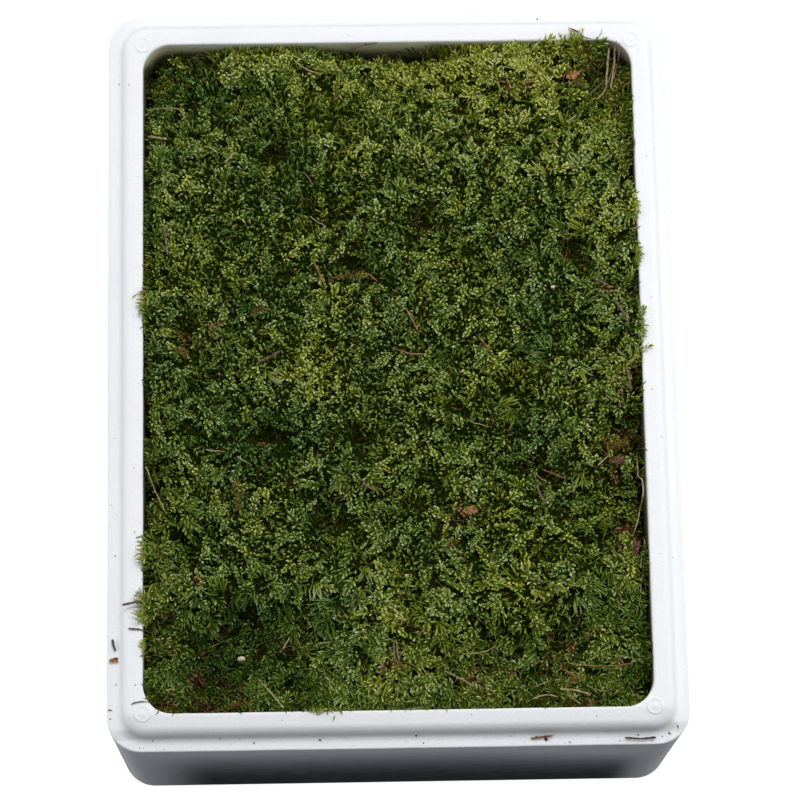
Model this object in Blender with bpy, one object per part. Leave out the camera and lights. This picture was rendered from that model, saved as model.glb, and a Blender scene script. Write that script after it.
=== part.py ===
"""Moss mat growing in a white foam tray, with the needles, straws, twigs and leaf scraps that lie on it.

The frame is in metres with +Z up. The origin is the middle of the tray's underside.
+Y runs along the tray's long side and +X along its short side.
"""
import math

import bmesh
import bpy
import numpy as np
from mathutils import Vector
from mathutils.bvhtree import BVHTree

MM = 0.001

# Tray: one moulded piece with a flat ledge around a raised collar
TRAY_WIDTH = 300 * MM
TRAY_LENGTH = 400 * MM
TRAY_HEIGHT = 140 * MM
COLLAR_RISE = 7.7 * MM
LEDGE_HEIGHT = TRAY_HEIGHT - COLLAR_RISE
OPENING_INSET = 18.8 * MM
COLLAR_OUTER_INSET = 10.9 * MM
LEDGE_FLAT_INSET = 5.2 * MM
OUTER_DRAFT = 1.2 * MM
INNER_DRAFT = 3.0 * MM
FLOOR_THICKNESS = 18 * MM
FLOOR_FILLET = 6 * MM
OUTER_CORNER_RADIUS = 17.7 * MM
COLLAR_CORNER_RADIUS = 12.5 * MM
OPENING_CORNER_RADIUS = 15 * MM
FLOOR_CORNER_RADIUS = 8 * MM
CORNER_SEGMENTS = 6

# Tray roundings: the foot and the ledge's edge, the step up to the collar, the collar's edge and the mouth
FOOT_ROUNDING = 2.0 * MM
LEDGE_ROUNDING = 1.0 * MM
STEP_WIDTH = 4.0 * MM
STEP_HOLLOW = 0.9 * MM
COLLAR_FACE_LEAN = 0.7 * MM
COLLAR_ROUNDING = 1.6 * MM
MOUTH_ROUNDING = 0.8 * MM

# Round vent marks on the collar's corners
VENT_MARK_DIAMETER = 9 * MM
VENT_MARK_RISE = 0.4 * MM
VENT_MARK_SUNK = 2 * MM
VENT_MARK_SIDES = 20
VENT_MARK_X = 131.2 * MM
VENT_MARK_Y = 181.2 * MM

# Moss: one mat from the floor to the tips
MOSS_LEVEL = TRAY_HEIGHT - 4.5 * MM
MOSS_COLUMNS = 41
MOSS_ROWS = 57
MOSS_WALL_CLEARANCE = 0.8 * MM
MOSS_FOOT_CLEARANCE = 1.0 * MM
MOSS_EDGE_DROP = 3.0 * MM
MOSS_EDGE_BAND = 14 * MM
MOSS_EDGE_THICKNESS = 3.5 * MM
MOSS_EDGE_BELOW_RIM = 6 * MM
MOSS_SHOULDER_DEPTH = 22 * MM
WALL_GAP_DROP = 0.8

# Tufts: how thick they are over the rim, and the reach at which one stands up to its full height
TUFT_EDGE_THICKNESS = 1.5 * MM
TUFT_CREST = 2.4 * MM
TUFT_FULL_REACH = 1.5 * MM
TUFT_TUCK = 0.3 * MM
EDGE_TUCK = 1.0 * MM

# Seeded lumps all over the mat: how many, their radii and their heights in millimetres
MOSS_LUMPS = 280
MOSS_SEED = 11
LUMP_RADII = (6.5, 12.0)
LUMP_HEIGHTS = (-2.5, 2.5)

# Pieces that touch keep this gap
TOUCH_GAP = 0.35 * MM

# Hollows in the mat: x, y, radius and depth in millimetres
HOLLOWS = (
    (-93, -154, 20, 12), (-83, -131, 13, 8), (-69, -140, 12, 7), (-45, -138, 10, 6),
    (-122, 164, 15, 9), (-81, 153, 9, 4), (-60, 123, 9, 3), (-66, -37, 12, 5),
    (-31, -81, 13, 5), (-112, -92, 10, 5), (-123, -134, 10, 5), (-125, -55, 11, 4),
    (-107, 21, 8, 3), (-38, 84, 10, 4), (15, 82, 9, 4), (-19, 59, 8, 3),
    (-19, -37, 8, 3), (15, -63, 9, 4), (53, -147, 14, 6), (74, -167, 10, 6),
    (87, -145, 11, 6), (78, -129, 8, 4), (74, -57, 11, 4), (104, -93, 8, 4),
    (122, -35, 10, 6), (119, -70, 12, 5), (99, 65, 9, 4), (-47, -173, 9, 4),
    (20, 178, 22, 6), (118, 160, 9, 5), (126, -168, 9, 7),
)

# Hummocks in the mat: x, y, radius and rise in millimetres
HUMMOCKS = (
    (83, 172, 18, 4), (52, 166, 22, 3), (20, 160, 16, 3), (-62, 170, 18, 4), (-31, 162, 14, 2),
    (-104, 106, 16, 3), (-15, 121, 16, 3), (85, 147, 15, 3), (99, 115, 18, 3), (110, 83, 16, 3),
    (118, -12, 16, 3), (-37, 6, 22, 3), (8, -14, 18, 2), (-3, -131, 20, 3), (29, -125, 14, 2),
    (50, -123, 16, 3), (-8, -165, 16, 3), (57, 110, 16, 2), (-118, -112, 9, 4), (-112, 55, 14, 2),
    (100, -120, 14, 2), (60, 20, 20, 2), (-118, -172, 9, 3),
)

# Gaps between the mat and the wall: x, y, half length and width in millimetres
WALL_GAPS = (
    (-2, 181, 36, 5.0), (-131, 150, 16, 2.5), (-131, 120, 18, 1.6), (-131, -26, 14, 2.2),
    (-131, -70, 20, 3.0), (-131, -150, 12, 1.6), (131, -25, 22, 3.4), (131, -72, 26, 4.2),
    (131, -128, 18, 2.8), (126, 176, 12, 5.0), (-123, 174, 14, 3.0), (130, -170, 10, 3.0),
    (131, 110, 14, 1.8), (-95, -181, 26, 1.5),
)

# Tufts that lean out over the collar: x, y, half length and reach in millimetres
RIM_TUFTS = (
    (105, 181, 10, 6.5), (-131, 37, 9, 3.5), (-131, -97, 6, 6.0), (-131, -123, 7, 7.0),
    (131, 88, 6, 3.5), (131, 60, 6, 4.0), (131, 19, 7, 5.0), (-40, -181, 8, 1.5),
)

# Routes of what lies on the mat, each with its diameter and its points in millimetres
PINE_NEEDLES = (
    (1.1, ((89.5, -157.8), (99.7, -159.5), (114.7, -159.7), (131.0, -155.8))),
    (1.0, ((112.8, -154.5), (117.3, -160.5))),
    (1.1, ((-40.7, 59.4), (-35.6, 47.3))),
    (1.2, ((7.6, 32.9), (14.2, 19.1))),
    (1.1, ((-12.2, 52.5), (-7.0, 47.4))),
    (1.2, ((45.8, 17.0), (51.4, 8.2))),
    (1.0, ((78.0, -54.9), (89.9, -60.5))),
    (1.0, ((85.8, -161.3), (93.9, -166.6))),
    (0.9, ((111.7, -96.0), (116.1, -103.0))),
)
STRAWS = (
    (1.3, ((-72.2, -163.0), (-65.6, -170.9), (-59.0, -179.6))),
    (1.3, ((119.3, 176.0), (118.3, 165.2), (117.5, 155.5))),
    (1.2, ((123.0, 176.4), (122.2, 167.4), (120.2, 155.5))),
    (1.2, ((-129.0, 147.9), (-120.0, 148.3), (-112.5, 147.1), (-109.4, 142.2))),
    (1.5, ((-128.6, 132.1), (-118.4, 129.7))),
    (1.3, ((-95.8, 124.2), (-91.2, 120.5))),
    (1.4, ((-87.5, 115.2), (-82.2, 120.8))),
    (1.2, ((-50.1, 171.9), (-43.2, 166.6), (-35.7, 164.3))),
    (1.3, ((18.0, 117.6), (21.0, 111.7))),
    (1.3, ((-55.6, -141.4), (-59.2, -147.6))),
    (1.3, ((82.9, -171.2), (90.6, -171.8), (98.5, -174.0))),
    (1.2, ((88.9, -175.4), (92.9, -179.8))),
)
GRASS_STEMS = (
    (1.6, ((127.0, -45.5), (127.6, -58.4), (129.0, -67.0), (126.8, -81.3), (123.3, -90.9))),
    (1.3, ((0.8, 11.5), (6.6, 9.1), (12.7, 8.2), (17.1, 8.5))),
    (1.2, ((-129.4, -51.9), (-125.5, -62.1), (-119.3, -75.5))),
    (1.2, ((65.2, -177.2), (75.1, -173.7), (82.2, -175.2))),
    (1.1, ((127.8, -98.4), (127.0, -108.0))),
)
TWIGS = (
    (1.6, ((95.3, 134.8), (100.8, 138.3))),
    (1.8, ((-71.4, 3.4), (-59.2, 9.8))),
    (1.6, ((-120.1, 80.0), (-118.0, 63.9))),
    (1.8, ((106.5, 48.6), (114.8, 44.1))),
    (1.6, ((118.8, 35.2), (124.2, 22.5))),
    (1.6, ((24.0, -160.9), (31.6, -165.2), (38.7, -169.4))),
    (1.6, ((-16.7, -61.1), (-10.5, -65.4))),
    (1.6, ((123.0, 0.6), (125.0, -12.5))),
    (1.6, ((74.1, -63.5), (78.0, -73.7))),
)

# Routes of what lies on the collar and on the ledge
COLLAR_LITTER = (
    ("straw", 1.3, ((-141.2, -125.2), (-132.6, -123.4))),
    ("straw", 1.2, ((-138.5, -137.0), (-132.6, -137.5))),
)
LEDGE_LITTER = (
    ("twig", 2.0, ((115.7, -196.6), (124.4, -197.2), (131.7, -196.6))),
    ("pine_needle", 1.3, ((67.5, -196.2), (79.5, -194.6))),
    ("twig", 1.5, ((-147.3, -141.2), (-146.6, -144.2), (-145.4, -147.6))),
)

# Leaf scraps: x, y, half length, half width, turn in degrees and curl height, millimetres
LEAF_SCRAPS = (
    (99.3, 160.9, 4.2, 2.6, 35, 0.8),
    (39.3, -76.8, 3.8, 2.4, 20, 0.7),
    (124.4, -97.6, 4.6, 2.8, 80, 0.9),
    (116.4, -50.1, 3.6, 2.6, 10, 0.6),
    (98.6, -178.4, 2.6, 2.0, 70, 0.5),
)
LEDGE_LEAF = (-146.2, -152.2, 2.9, 1.7, 0, 0.6)
LEAF_THICKNESS = 0.5 * MM
LEAF_SIDES = 9

# Pale crumbs on the mat: x, y and radii in millimetres
CRUMBS = (
    (85.6, 43.9, 1.5, 1.3, 1.0),
    (-80.9, -151.4, 3.0, 1.9, 1.4),
)

CRUMB_UNEVENNESS = (0.82, 1.0)

STALK_SIDES = 6
STALK_STEP = 5.0 * MM
STALK_TIP_TAPER = 0.6

# A stalk clears the highest ground within this many of its radii and this margin
REST_RADII = 2.2
REST_MARGIN = 0.6 * MM

# Base colour, roughness and metallic value of each finish
FINISHES = {
    "foam": ((0.86, 0.87, 0.89), 0.75, 0.0),
    "moss": ((0.06, 0.09, 0.015), 0.85, 0.0),
    "pine_needle": ((0.30, 0.13, 0.05), 0.55, 0.0),
    "straw": ((0.42, 0.32, 0.17), 0.6, 0.0),
    "grass_stem": ((0.36, 0.24, 0.13), 0.6, 0.0),
    "twig": ((0.17, 0.10, 0.065), 0.8, 0.0),
    "leaf_scrap": ((0.36, 0.17, 0.09), 0.7, 0.0),
    "crumb": ((0.68, 0.62, 0.52), 0.85, 0.0),
}


def clear_scene():
    """Removes the objects that the scene starts with."""
    for old in list(bpy.data.objects):
        bpy.data.objects.remove(old, do_unlink=True)


def finish_material(name, finish):
    """Makes one piece's own material from its finish."""
    colour, roughness, metallic = FINISHES[finish]
    material = bpy.data.materials.new(name)
    material.use_nodes = True
    shader = material.node_tree.nodes["Principled BSDF"]
    shader.inputs["Base Color"].default_value = (*colour, 1.0)
    shader.inputs["Roughness"].default_value = roughness
    shader.inputs["Metallic"].default_value = metallic
    return material


def add_piece(name, vertices, faces, finish, sharp_degrees=40):
    """Makes a named object from vertices and faces, with its faces pointing out."""
    mesh = bpy.data.meshes.new(name)
    mesh.from_pydata([tuple(map(float, v)) for v in vertices], [], faces)
    work = bmesh.new()
    work.from_mesh(mesh)
    bmesh.ops.recalc_face_normals(work, faces=work.faces)
    work.to_mesh(mesh)
    work.free()
    mesh.shade_smooth()
    mesh.set_sharp_from_angle(angle=math.radians(sharp_degrees))
    mesh.materials.append(finish_material(name, finish))
    piece = bpy.data.objects.new(name, mesh)
    bpy.context.collection.objects.link(piece)
    return piece


def ring_faces(first, second, count, flip=False):
    """Quads between two closed rings of count vertices that start at the given indices."""
    faces = []
    for i in range(count):
        j = (i + 1) % count
        quad = (first + i, first + j, second + j, second + i)
        faces.append(tuple(reversed(quad)) if flip else quad)
    return faces


# Tray


def rounded_ring(inset, height, radius):
    """One rounded rectangle around the tray, inset from its outer sides."""
    half_x = TRAY_WIDTH / 2 - inset - radius
    half_y = TRAY_LENGTH / 2 - inset - radius
    points = []
    for quarter, (sign_x, sign_y) in enumerate(((1, 1), (-1, 1), (-1, -1), (1, -1))):
        for step in range(CORNER_SEGMENTS + 1):
            angle = (quarter + step / CORNER_SEGMENTS) * math.pi / 2
            points.append((
                sign_x * half_x + radius * math.cos(angle),
                sign_y * half_y + radius * math.sin(angle),
                height,
            ))
    return points


def arc(start, middle, end):
    """A quarter-like curve from start to end with its control point at middle, in three steps."""
    points = []
    for t in (0.0, 0.33, 0.67, 1.0):
        points.append(tuple(
            (1 - t) ** 2 * s + 2 * t * (1 - t) * m + t * t * e
            for s, m, e in zip(start, middle, end)
        ))
    return points


def tray_profile():
    """Inset and height of each ring, from the underside up, over the collar and down to the floor."""
    foot = FOOT_ROUNDING
    step_top = LEDGE_FLAT_INSET + STEP_WIDTH
    collar_edge = step_top + COLLAR_FACE_LEAN
    inner_floor = OPENING_INSET + INNER_DRAFT
    outside = [(OUTER_DRAFT + foot, 0.0), (OUTER_DRAFT + 0.3 * foot, 0.3 * foot), (OUTER_DRAFT, foot)]
    rim = arc((0.0, LEDGE_HEIGHT - LEDGE_ROUNDING), (0.0, LEDGE_HEIGHT), (LEDGE_ROUNDING, LEDGE_HEIGHT))
    step = arc(
        (LEDGE_FLAT_INSET, LEDGE_HEIGHT),
        (step_top - STEP_HOLLOW, LEDGE_HEIGHT),
        (step_top, LEDGE_HEIGHT + 0.5 * COLLAR_RISE),
    )
    collar_round = arc(
        (collar_edge, TRAY_HEIGHT - COLLAR_ROUNDING),
        (collar_edge + 0.3 * COLLAR_ROUNDING, TRAY_HEIGHT),
        (collar_edge + COLLAR_ROUNDING, TRAY_HEIGHT),
    )
    mouth = arc(
        (OPENING_INSET - MOUTH_ROUNDING, TRAY_HEIGHT),
        (OPENING_INSET, TRAY_HEIGHT),
        (OPENING_INSET, TRAY_HEIGHT - MOUTH_ROUNDING),
    )
    floor_curve = arc(
        (inner_floor, FLOOR_THICKNESS + FLOOR_FILLET),
        (inner_floor, FLOOR_THICKNESS),
        (inner_floor + FLOOR_FILLET, FLOOR_THICKNESS),
    )
    return outside + rim + step + collar_round + mouth + floor_curve


def corner_radius(inset):
    """Corner radius of a ring: the outer corner's on the wall, then the collar's, then the opening's."""
    stations = (0.0, COLLAR_OUTER_INSET, OPENING_INSET, OPENING_INSET + INNER_DRAFT + FLOOR_FILLET)
    radii = (OUTER_CORNER_RADIUS, COLLAR_CORNER_RADIUS, OPENING_CORNER_RADIUS, FLOOR_CORNER_RADIUS)
    return float(np.interp(inset, stations, radii))


def build_tray():
    """The foam tray, with its vent marks joined on."""
    rings = [rounded_ring(inset, height, corner_radius(inset)) for inset, height in tray_profile()]
    count = len(rings[0])
    vertices = [point for ring in rings for point in ring]
    faces = []
    for i in range(len(rings) - 1):
        faces += ring_faces(i * count, (i + 1) * count, count)
    faces.append(tuple(reversed(range(count))))
    faces.append(tuple(range((len(rings) - 1) * count, len(rings) * count)))
    tray = add_piece("foam_tray", vertices, faces, "foam", 30)
    for sign_x in (-1, 1):
        for sign_y in (-1, 1):
            mark = vent_mark(sign_x * VENT_MARK_X, sign_y * VENT_MARK_Y)
            joint = tray.modifiers.new("vent_mark", "BOOLEAN")
            joint.operation = "UNION"
            joint.solver = "EXACT"
            joint.object = mark
    return tray


def vent_mark(x, y):
    """A low round disc, sunk into the collar so that the two join."""
    radius = VENT_MARK_DIAMETER / 2
    levels = (
        (radius, TRAY_HEIGHT - VENT_MARK_SUNK),
        (radius, TRAY_HEIGHT + 0.5 * VENT_MARK_RISE),
        (radius - VENT_MARK_RISE, TRAY_HEIGHT + VENT_MARK_RISE),
    )
    vertices = []
    for ring_radius, height in levels:
        for i in range(VENT_MARK_SIDES):
            angle = 2 * math.pi * i / VENT_MARK_SIDES
            vertices.append((x + ring_radius * math.cos(angle), y + ring_radius * math.sin(angle), height))
    faces = ring_faces(0, VENT_MARK_SIDES, VENT_MARK_SIDES)
    faces += ring_faces(VENT_MARK_SIDES, 2 * VENT_MARK_SIDES, VENT_MARK_SIDES)
    faces.append(tuple(reversed(range(VENT_MARK_SIDES))))
    faces.append(tuple(range(2 * VENT_MARK_SIDES, 3 * VENT_MARK_SIDES)))
    mark = add_piece("vent_mark", vertices, faces, "foam")
    mark.hide_render = True
    mark.display_type = "WIRE"
    return mark


# Moss mat


def opening_half():
    """Half width and half length of the tray's opening."""
    return TRAY_WIDTH / 2 - OPENING_INSET, TRAY_LENGTH / 2 - OPENING_INSET


def moss_grid():
    """Grid points that fill the opening's rounded outline, with each corner block mapped to a quarter disc."""
    half_x, half_y = opening_half()
    radius = OPENING_CORNER_RADIUS
    x, y = np.meshgrid(
        np.linspace(-half_x, half_x, MOSS_COLUMNS),
        np.linspace(-half_y, half_y, MOSS_ROWS),
        indexing="ij",
    )
    s = np.clip((np.abs(x) - (half_x - radius)) / radius, 0, 1)
    t = np.clip((np.abs(y) - (half_y - radius)) / radius, 0, 1)
    corner = (s > 0) & (t > 0)
    round_x = half_x - radius + radius * s * np.sqrt(1 - t * t / 2)
    round_y = half_y - radius + radius * t * np.sqrt(1 - s * s / 2)
    return np.where(corner, np.sign(x) * round_x, x), np.where(corner, np.sign(y) * round_y, y)


def wall_distance(x, y):
    """Distance inwards from the opening's edge, and the direction out to it."""
    half_x, half_y = opening_half()
    radius = OPENING_CORNER_RADIUS
    qx = np.abs(x) - (half_x - radius)
    qy = np.abs(y) - (half_y - radius)
    corner = np.hypot(np.maximum(qx, 0), np.maximum(qy, 0))
    inside = radius - corner - np.minimum(np.maximum(qx, qy), 0)
    length = np.maximum(corner, 1e-9)
    flat = corner < 1e-9
    nx = np.where(flat, (qx >= qy) * 1.0, np.maximum(qx, 0) / length) * np.sign(x)
    ny = np.where(flat, (qx < qy) * 1.0, np.maximum(qy, 0) / length) * np.sign(y)
    return inside, nx, ny


def bumps(features, x, y, amount_index=3):
    """Sum of bell-shaped bumps, each given by its place, size and amount in millimetres."""
    total = np.zeros_like(x)
    for feature in features:
        cx, cy, size = (value * MM for value in feature[:3])
        total += feature[amount_index] * MM * np.exp(-((x - cx) ** 2 + (y - cy) ** 2) / size ** 2)
    return total


def moss_lumps():
    """Small seeded lumps all over the mat, as features like the hummocks."""
    rng = np.random.default_rng(MOSS_SEED)
    half_x, half_y = (value / MM for value in opening_half())
    lumps = []
    for _ in range(MOSS_LUMPS):
        lumps.append((
            rng.uniform(-half_x, half_x),
            rng.uniform(-half_y, half_y),
            rng.uniform(*LUMP_RADII),
            rng.uniform(*LUMP_HEIGHTS),
        ))
    return lumps


def moss_height(x, y):
    """Height of the tips: level, hummocks, hollows, lumps, and a drop towards the wall except at tufts."""
    inside, _, _ = wall_distance(x, y)
    edge = np.clip(1 - inside / MOSS_EDGE_BAND, 0, 1) ** 2
    tuft = np.clip(bumps(RIM_TUFTS, x, y) / TUFT_FULL_REACH, 0, 1)
    height = MOSS_LEVEL + bumps(HUMMOCKS, x, y) - bumps(HOLLOWS, x, y) + bumps(moss_lumps(), x, y)
    height = height - edge * MOSS_EDGE_DROP * (1 - tuft) - WALL_GAP_DROP * bumps(WALL_GAPS, x, y)
    low = TRAY_HEIGHT + TOUCH_GAP + TUFT_CREST
    return height + tuft * np.maximum(low - height, 0)


def dilate_ring(flags):
    """Flags of a closed ring, widened by one vertex to each side."""
    return flags | np.roll(flags, 1) | np.roll(flags, -1)


def build_moss():
    """The mat: a lumpy top, an edge that leaves gaps or leans over the collar, and sides down to the floor."""
    columns, rows = MOSS_COLUMNS, MOSS_ROWS
    x, y = moss_grid()
    inside, nx, ny = wall_distance(x, y)
    reach = bumps(RIM_TUFTS, x, y) - bumps(WALL_GAPS, x, y) - MOSS_WALL_CLEARANCE
    follow = np.clip(1 - inside / MOSS_EDGE_BAND, 0, 1) ** 1.5
    z = moss_height(x, y)
    top = np.stack([x + nx * reach * follow, y + ny * reach * follow, z], axis=-1)

    index = np.arange(columns * rows).reshape(columns, rows)
    border = np.concatenate([index[:-1, 0], index[-1, :-1], index[:0:-1, -1], index[0, :0:-1]])
    flat = top.reshape(-1, 3)
    edge_x, edge_y, edge_reach = (a.reshape(-1)[border] for a in (x, y, reach))
    edge_nx, edge_ny = (a.reshape(-1)[border] for a in (nx, ny))
    leaning = dilate_ring(edge_reach > -1.2 * TOUCH_GAP)
    over_rim = TRAY_HEIGHT + TOUCH_GAP
    flat[border[leaning], 2] = np.maximum(flat[border[leaning], 2], over_rim + TUFT_EDGE_THICKNESS)
    edge_z = flat[border, 2]

    def skirt(offset, height):
        return np.stack([edge_x + edge_nx * offset, edge_y + edge_ny * offset, height], axis=-1)

    tucked = np.minimum(edge_reach, -MOSS_WALL_CLEARANCE)
    thin_edge = np.minimum(edge_z - MOSS_EDGE_THICKNESS, TRAY_HEIGHT - MOSS_EDGE_BELOW_RIM)
    under_edge = np.where(leaning, over_rim, thin_edge)
    level = np.ones_like(edge_z)
    shoulder = INNER_DRAFT * MOSS_SHOULDER_DEPTH / (TRAY_HEIGHT - FLOOR_THICKNESS) + MOSS_WALL_CLEARANCE
    rings = [
        skirt(edge_reach, under_edge),
        skirt(tucked, under_edge - np.where(leaning, TUFT_TUCK, EDGE_TUCK)),
        skirt(-shoulder * level, (TRAY_HEIGHT - MOSS_SHOULDER_DEPTH) * level),
        skirt(-(INNER_DRAFT + MOSS_FOOT_CLEARANCE) * level, (FLOOR_THICKNESS + FLOOR_FILLET + MM) * level),
        skirt(-(INNER_DRAFT + FLOOR_FILLET) * level, (FLOOR_THICKNESS + TOUCH_GAP) * level),
    ]
    vertices = np.concatenate([flat] + rings)

    faces = [
        (index[i, j], index[i + 1, j], index[i + 1, j + 1], index[i, j + 1])
        for i in range(columns - 1)
        for j in range(rows - 1)
    ]
    count = len(border)
    start = columns * rows
    for i in range(count):
        j = (i + 1) % count
        faces.append((border[i], start + i, start + j, border[j]))
    for ring in range(len(rings) - 1):
        faces += ring_faces(start + ring * count, start + (ring + 1) * count, count, flip=True)
    faces.append(tuple(start + (len(rings) - 1) * count + i for i in reversed(range(count))))
    faces = [tuple(int(i) for i in face) for face in faces]
    return add_piece("moss_mat", vertices, faces, "moss", 180)


# Litter on the mat, the collar and the ledge


class Ground:
    """What litter lies on: the highest surface of the tray and the mat under a point."""

    def __init__(self, pieces):
        depsgraph = bpy.context.evaluated_depsgraph_get()
        self.trees = [BVHTree.FromObject(piece, depsgraph) for piece in pieces]

    def height(self, x, y):
        """Height of the highest surface under the point."""
        start = Vector((x, y, 2 * TRAY_HEIGHT))
        hits = [tree.ray_cast(start, Vector((0, 0, -1)))[0] for tree in self.trees]
        return max(hit.z for hit in hits if hit is not None)

    def height_around(self, x, y, radius):
        """Height of the highest surface within a radius of the point."""
        around = [(0.0, 0.0)]
        for i in range(8):
            angle = math.pi * i / 4
            around.append((radius * math.cos(angle), radius * math.sin(angle)))
        return max(self.height(x + dx, y + dy) for dx, dy in around)


def smooth_route(points):
    """Points every few millimetres along a curve through the route's own points."""
    route = [Vector((x * MM, y * MM)) for x, y in points]
    padded = [2 * route[0] - route[1]] + route + [2 * route[-1] - route[-2]]
    curve = []
    for i in range(1, len(padded) - 2):
        before, start, end, after = padded[i - 1:i + 3]
        steps = max(2, round((end - start).length / STALK_STEP))
        for step in range(steps):
            t = step / steps
            curve.append(0.5 * (
                2 * start
                + (end - before) * t
                + (2 * before - 5 * start + 4 * end - after) * t * t
                + (3 * start - before - 3 * end + after) * t ** 3
            ))
    return curve + [route[-1]]


def resting_heights(curve, ground, radius, stiff):
    """Height of a stalk's middle line: a stiff one spans high points, a limp one follows the ground."""
    around = REST_RADII * radius + REST_MARGIN
    needed = [ground.height_around(p.x, p.y, around) + radius + TOUCH_GAP for p in curve]
    if not stiff:
        count = len(needed)
        return [max(needed[max(0, i - 1):min(count, i + 2)]) for i in range(count)]
    length = [0.0]
    for a, b in zip(curve, curve[1:]):
        length.append(length[-1] + (b - a).length)
    best = None
    for i in range(len(curve)):
        for j in range(i + 1, len(curve)):
            slope = (needed[j] - needed[i]) / (length[j] - length[i])
            line = [needed[i] + slope * (s - length[i]) for s in length]
            lift = max(n - value for n, value in zip(needed, line))
            total = sum(line) / len(line) + lift
            if best is None or total < best[0]:
                best = (total, [value + lift for value in line])
    return best[1]


def build_stalk(name, finish, diameter, points, ground, stiff):
    """A thin round stalk with tapered ends that rests on the ground."""
    radius = diameter * MM / 2
    curve = smooth_route(points)
    heights = resting_heights(curve, ground, radius, stiff)
    middle = [Vector((p.x, p.y, z)) for p, z in zip(curve, heights)]
    vertices = []
    last = len(middle) - 1
    for i, point in enumerate(middle):
        ahead = (middle[min(i + 1, last)] - middle[max(i - 1, 0)]).normalized()
        side = ahead.cross(Vector((0, 0, 1))).normalized()
        up = side.cross(ahead)
        size = radius * (STALK_TIP_TAPER if i in (0, last) else 1.0)
        for k in range(STALK_SIDES):
            angle = 2 * math.pi * k / STALK_SIDES
            vertices.append(point + side * size * math.cos(angle) + up * size * math.sin(angle))
    faces = []
    for i in range(last):
        faces += ring_faces(i * STALK_SIDES, (i + 1) * STALK_SIDES, STALK_SIDES)
    faces.append(tuple(reversed(range(STALK_SIDES))))
    faces.append(tuple(last * STALK_SIDES + k for k in range(STALK_SIDES)))
    return add_piece(name, vertices, faces, finish)


def build_leaf_scrap(name, scrap, ground):
    """A curled scrap of leaf with an uneven outline, lying on the ground."""
    x, y, half_length, half_width, turn, curl = scrap
    cos_turn, sin_turn = math.cos(math.radians(turn)), math.sin(math.radians(turn))
    highest = max(ground.height_around(x * MM, y * MM, part * half_length * MM) for part in (0.6, 1.0))
    base = highest + TOUCH_GAP
    outline = [(0.0, 0.0)]
    for i in range(LEAF_SIDES):
        angle = 2 * math.pi * i / LEAF_SIDES
        wobble = 1 + 0.16 * math.cos(3 * angle + turn) + 0.08 * math.sin(5 * angle)
        outline.append((half_length * wobble * math.cos(angle), half_width * wobble * math.sin(angle)))
    vertices = []
    for level in (0.0, LEAF_THICKNESS):
        for u, v in outline:
            bend = curl * MM * (v / half_width) ** 2
            vertices.append((
                (x + u * cos_turn - v * sin_turn) * MM,
                (y + u * sin_turn + v * cos_turn) * MM,
                base + level + bend,
            ))
    under = len(outline)
    faces = []
    for i in range(LEAF_SIDES):
        j = (i + 1) % LEAF_SIDES
        faces.append((0, 1 + j, 1 + i))
        faces.append((under, under + 1 + i, under + 1 + j))
    faces += ring_faces(1, under + 1, LEAF_SIDES)
    return add_piece(name, vertices, faces, "leaf_scrap")


def build_crumb(name, crumb, ground, number):
    """A small uneven lump resting on the ground."""
    x, y, radius_x, radius_y, radius_z = (value * MM for value in crumb)
    work = bmesh.new()
    bmesh.ops.create_icosphere(work, subdivisions=1, radius=1.0)
    rng = np.random.default_rng(number)
    base = ground.height_around(x, y, max(radius_x, radius_y)) + TOUCH_GAP
    vertices = []
    for vertex in work.verts:
        scale = rng.uniform(*CRUMB_UNEVENNESS)
        vertices.append((
            x + vertex.co.x * radius_x * scale,
            y + vertex.co.y * radius_y * scale,
            base + radius_z + vertex.co.z * radius_z * scale,
        ))
    work.verts.index_update()
    faces = [tuple(vertex.index for vertex in face.verts) for face in work.faces]
    work.free()
    return add_piece(name, vertices, faces, "crumb", 180)


def build_litter(tray, moss):
    """Everything loose, numbered by kind."""
    ground = Ground((tray, moss))
    kinds = (
        ("pine_needle", PINE_NEEDLES, True),
        ("straw", STRAWS, True),
        ("grass_stem", GRASS_STEMS, False),
        ("twig", TWIGS, True),
    )
    numbers = {}
    for kind, routes, stiff in kinds:
        for diameter, points in routes:
            numbers[kind] = numbers.get(kind, 0) + 1
            build_stalk(f"{kind}_{numbers[kind]}", kind, diameter, points, ground, stiff)
    for kind, diameter, points in COLLAR_LITTER + LEDGE_LITTER:
        numbers[kind] += 1
        build_stalk(f"{kind}_{numbers[kind]}", kind, diameter, points, ground, True)
    for number, scrap in enumerate(LEAF_SCRAPS + (LEDGE_LEAF,), 1):
        build_leaf_scrap(f"leaf_scrap_{number}", scrap, ground)
    for number, crumb in enumerate(CRUMBS, 1):
        build_crumb(f"crumb_{number}", crumb, ground, number)


def main():
    """Builds the tray, the mat and the litter."""
    clear_scene()
    tray = build_tray()
    moss = build_moss()
    build_litter(tray, moss)


main()
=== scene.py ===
"""Looks of a moss mat in a white foam tray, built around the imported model.

Lengths are in metres and +Z is up. Small sizes are written in millimetres times MM.
"""
import logging
import math
from dataclasses import dataclass, replace
from enum import Enum
from typing import Callable, Dict, List, Optional, Sequence, Tuple, Union

import bpy
import numpy as np
from mathutils import Matrix, Vector
from mathutils.bvhtree import BVHTree


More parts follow.
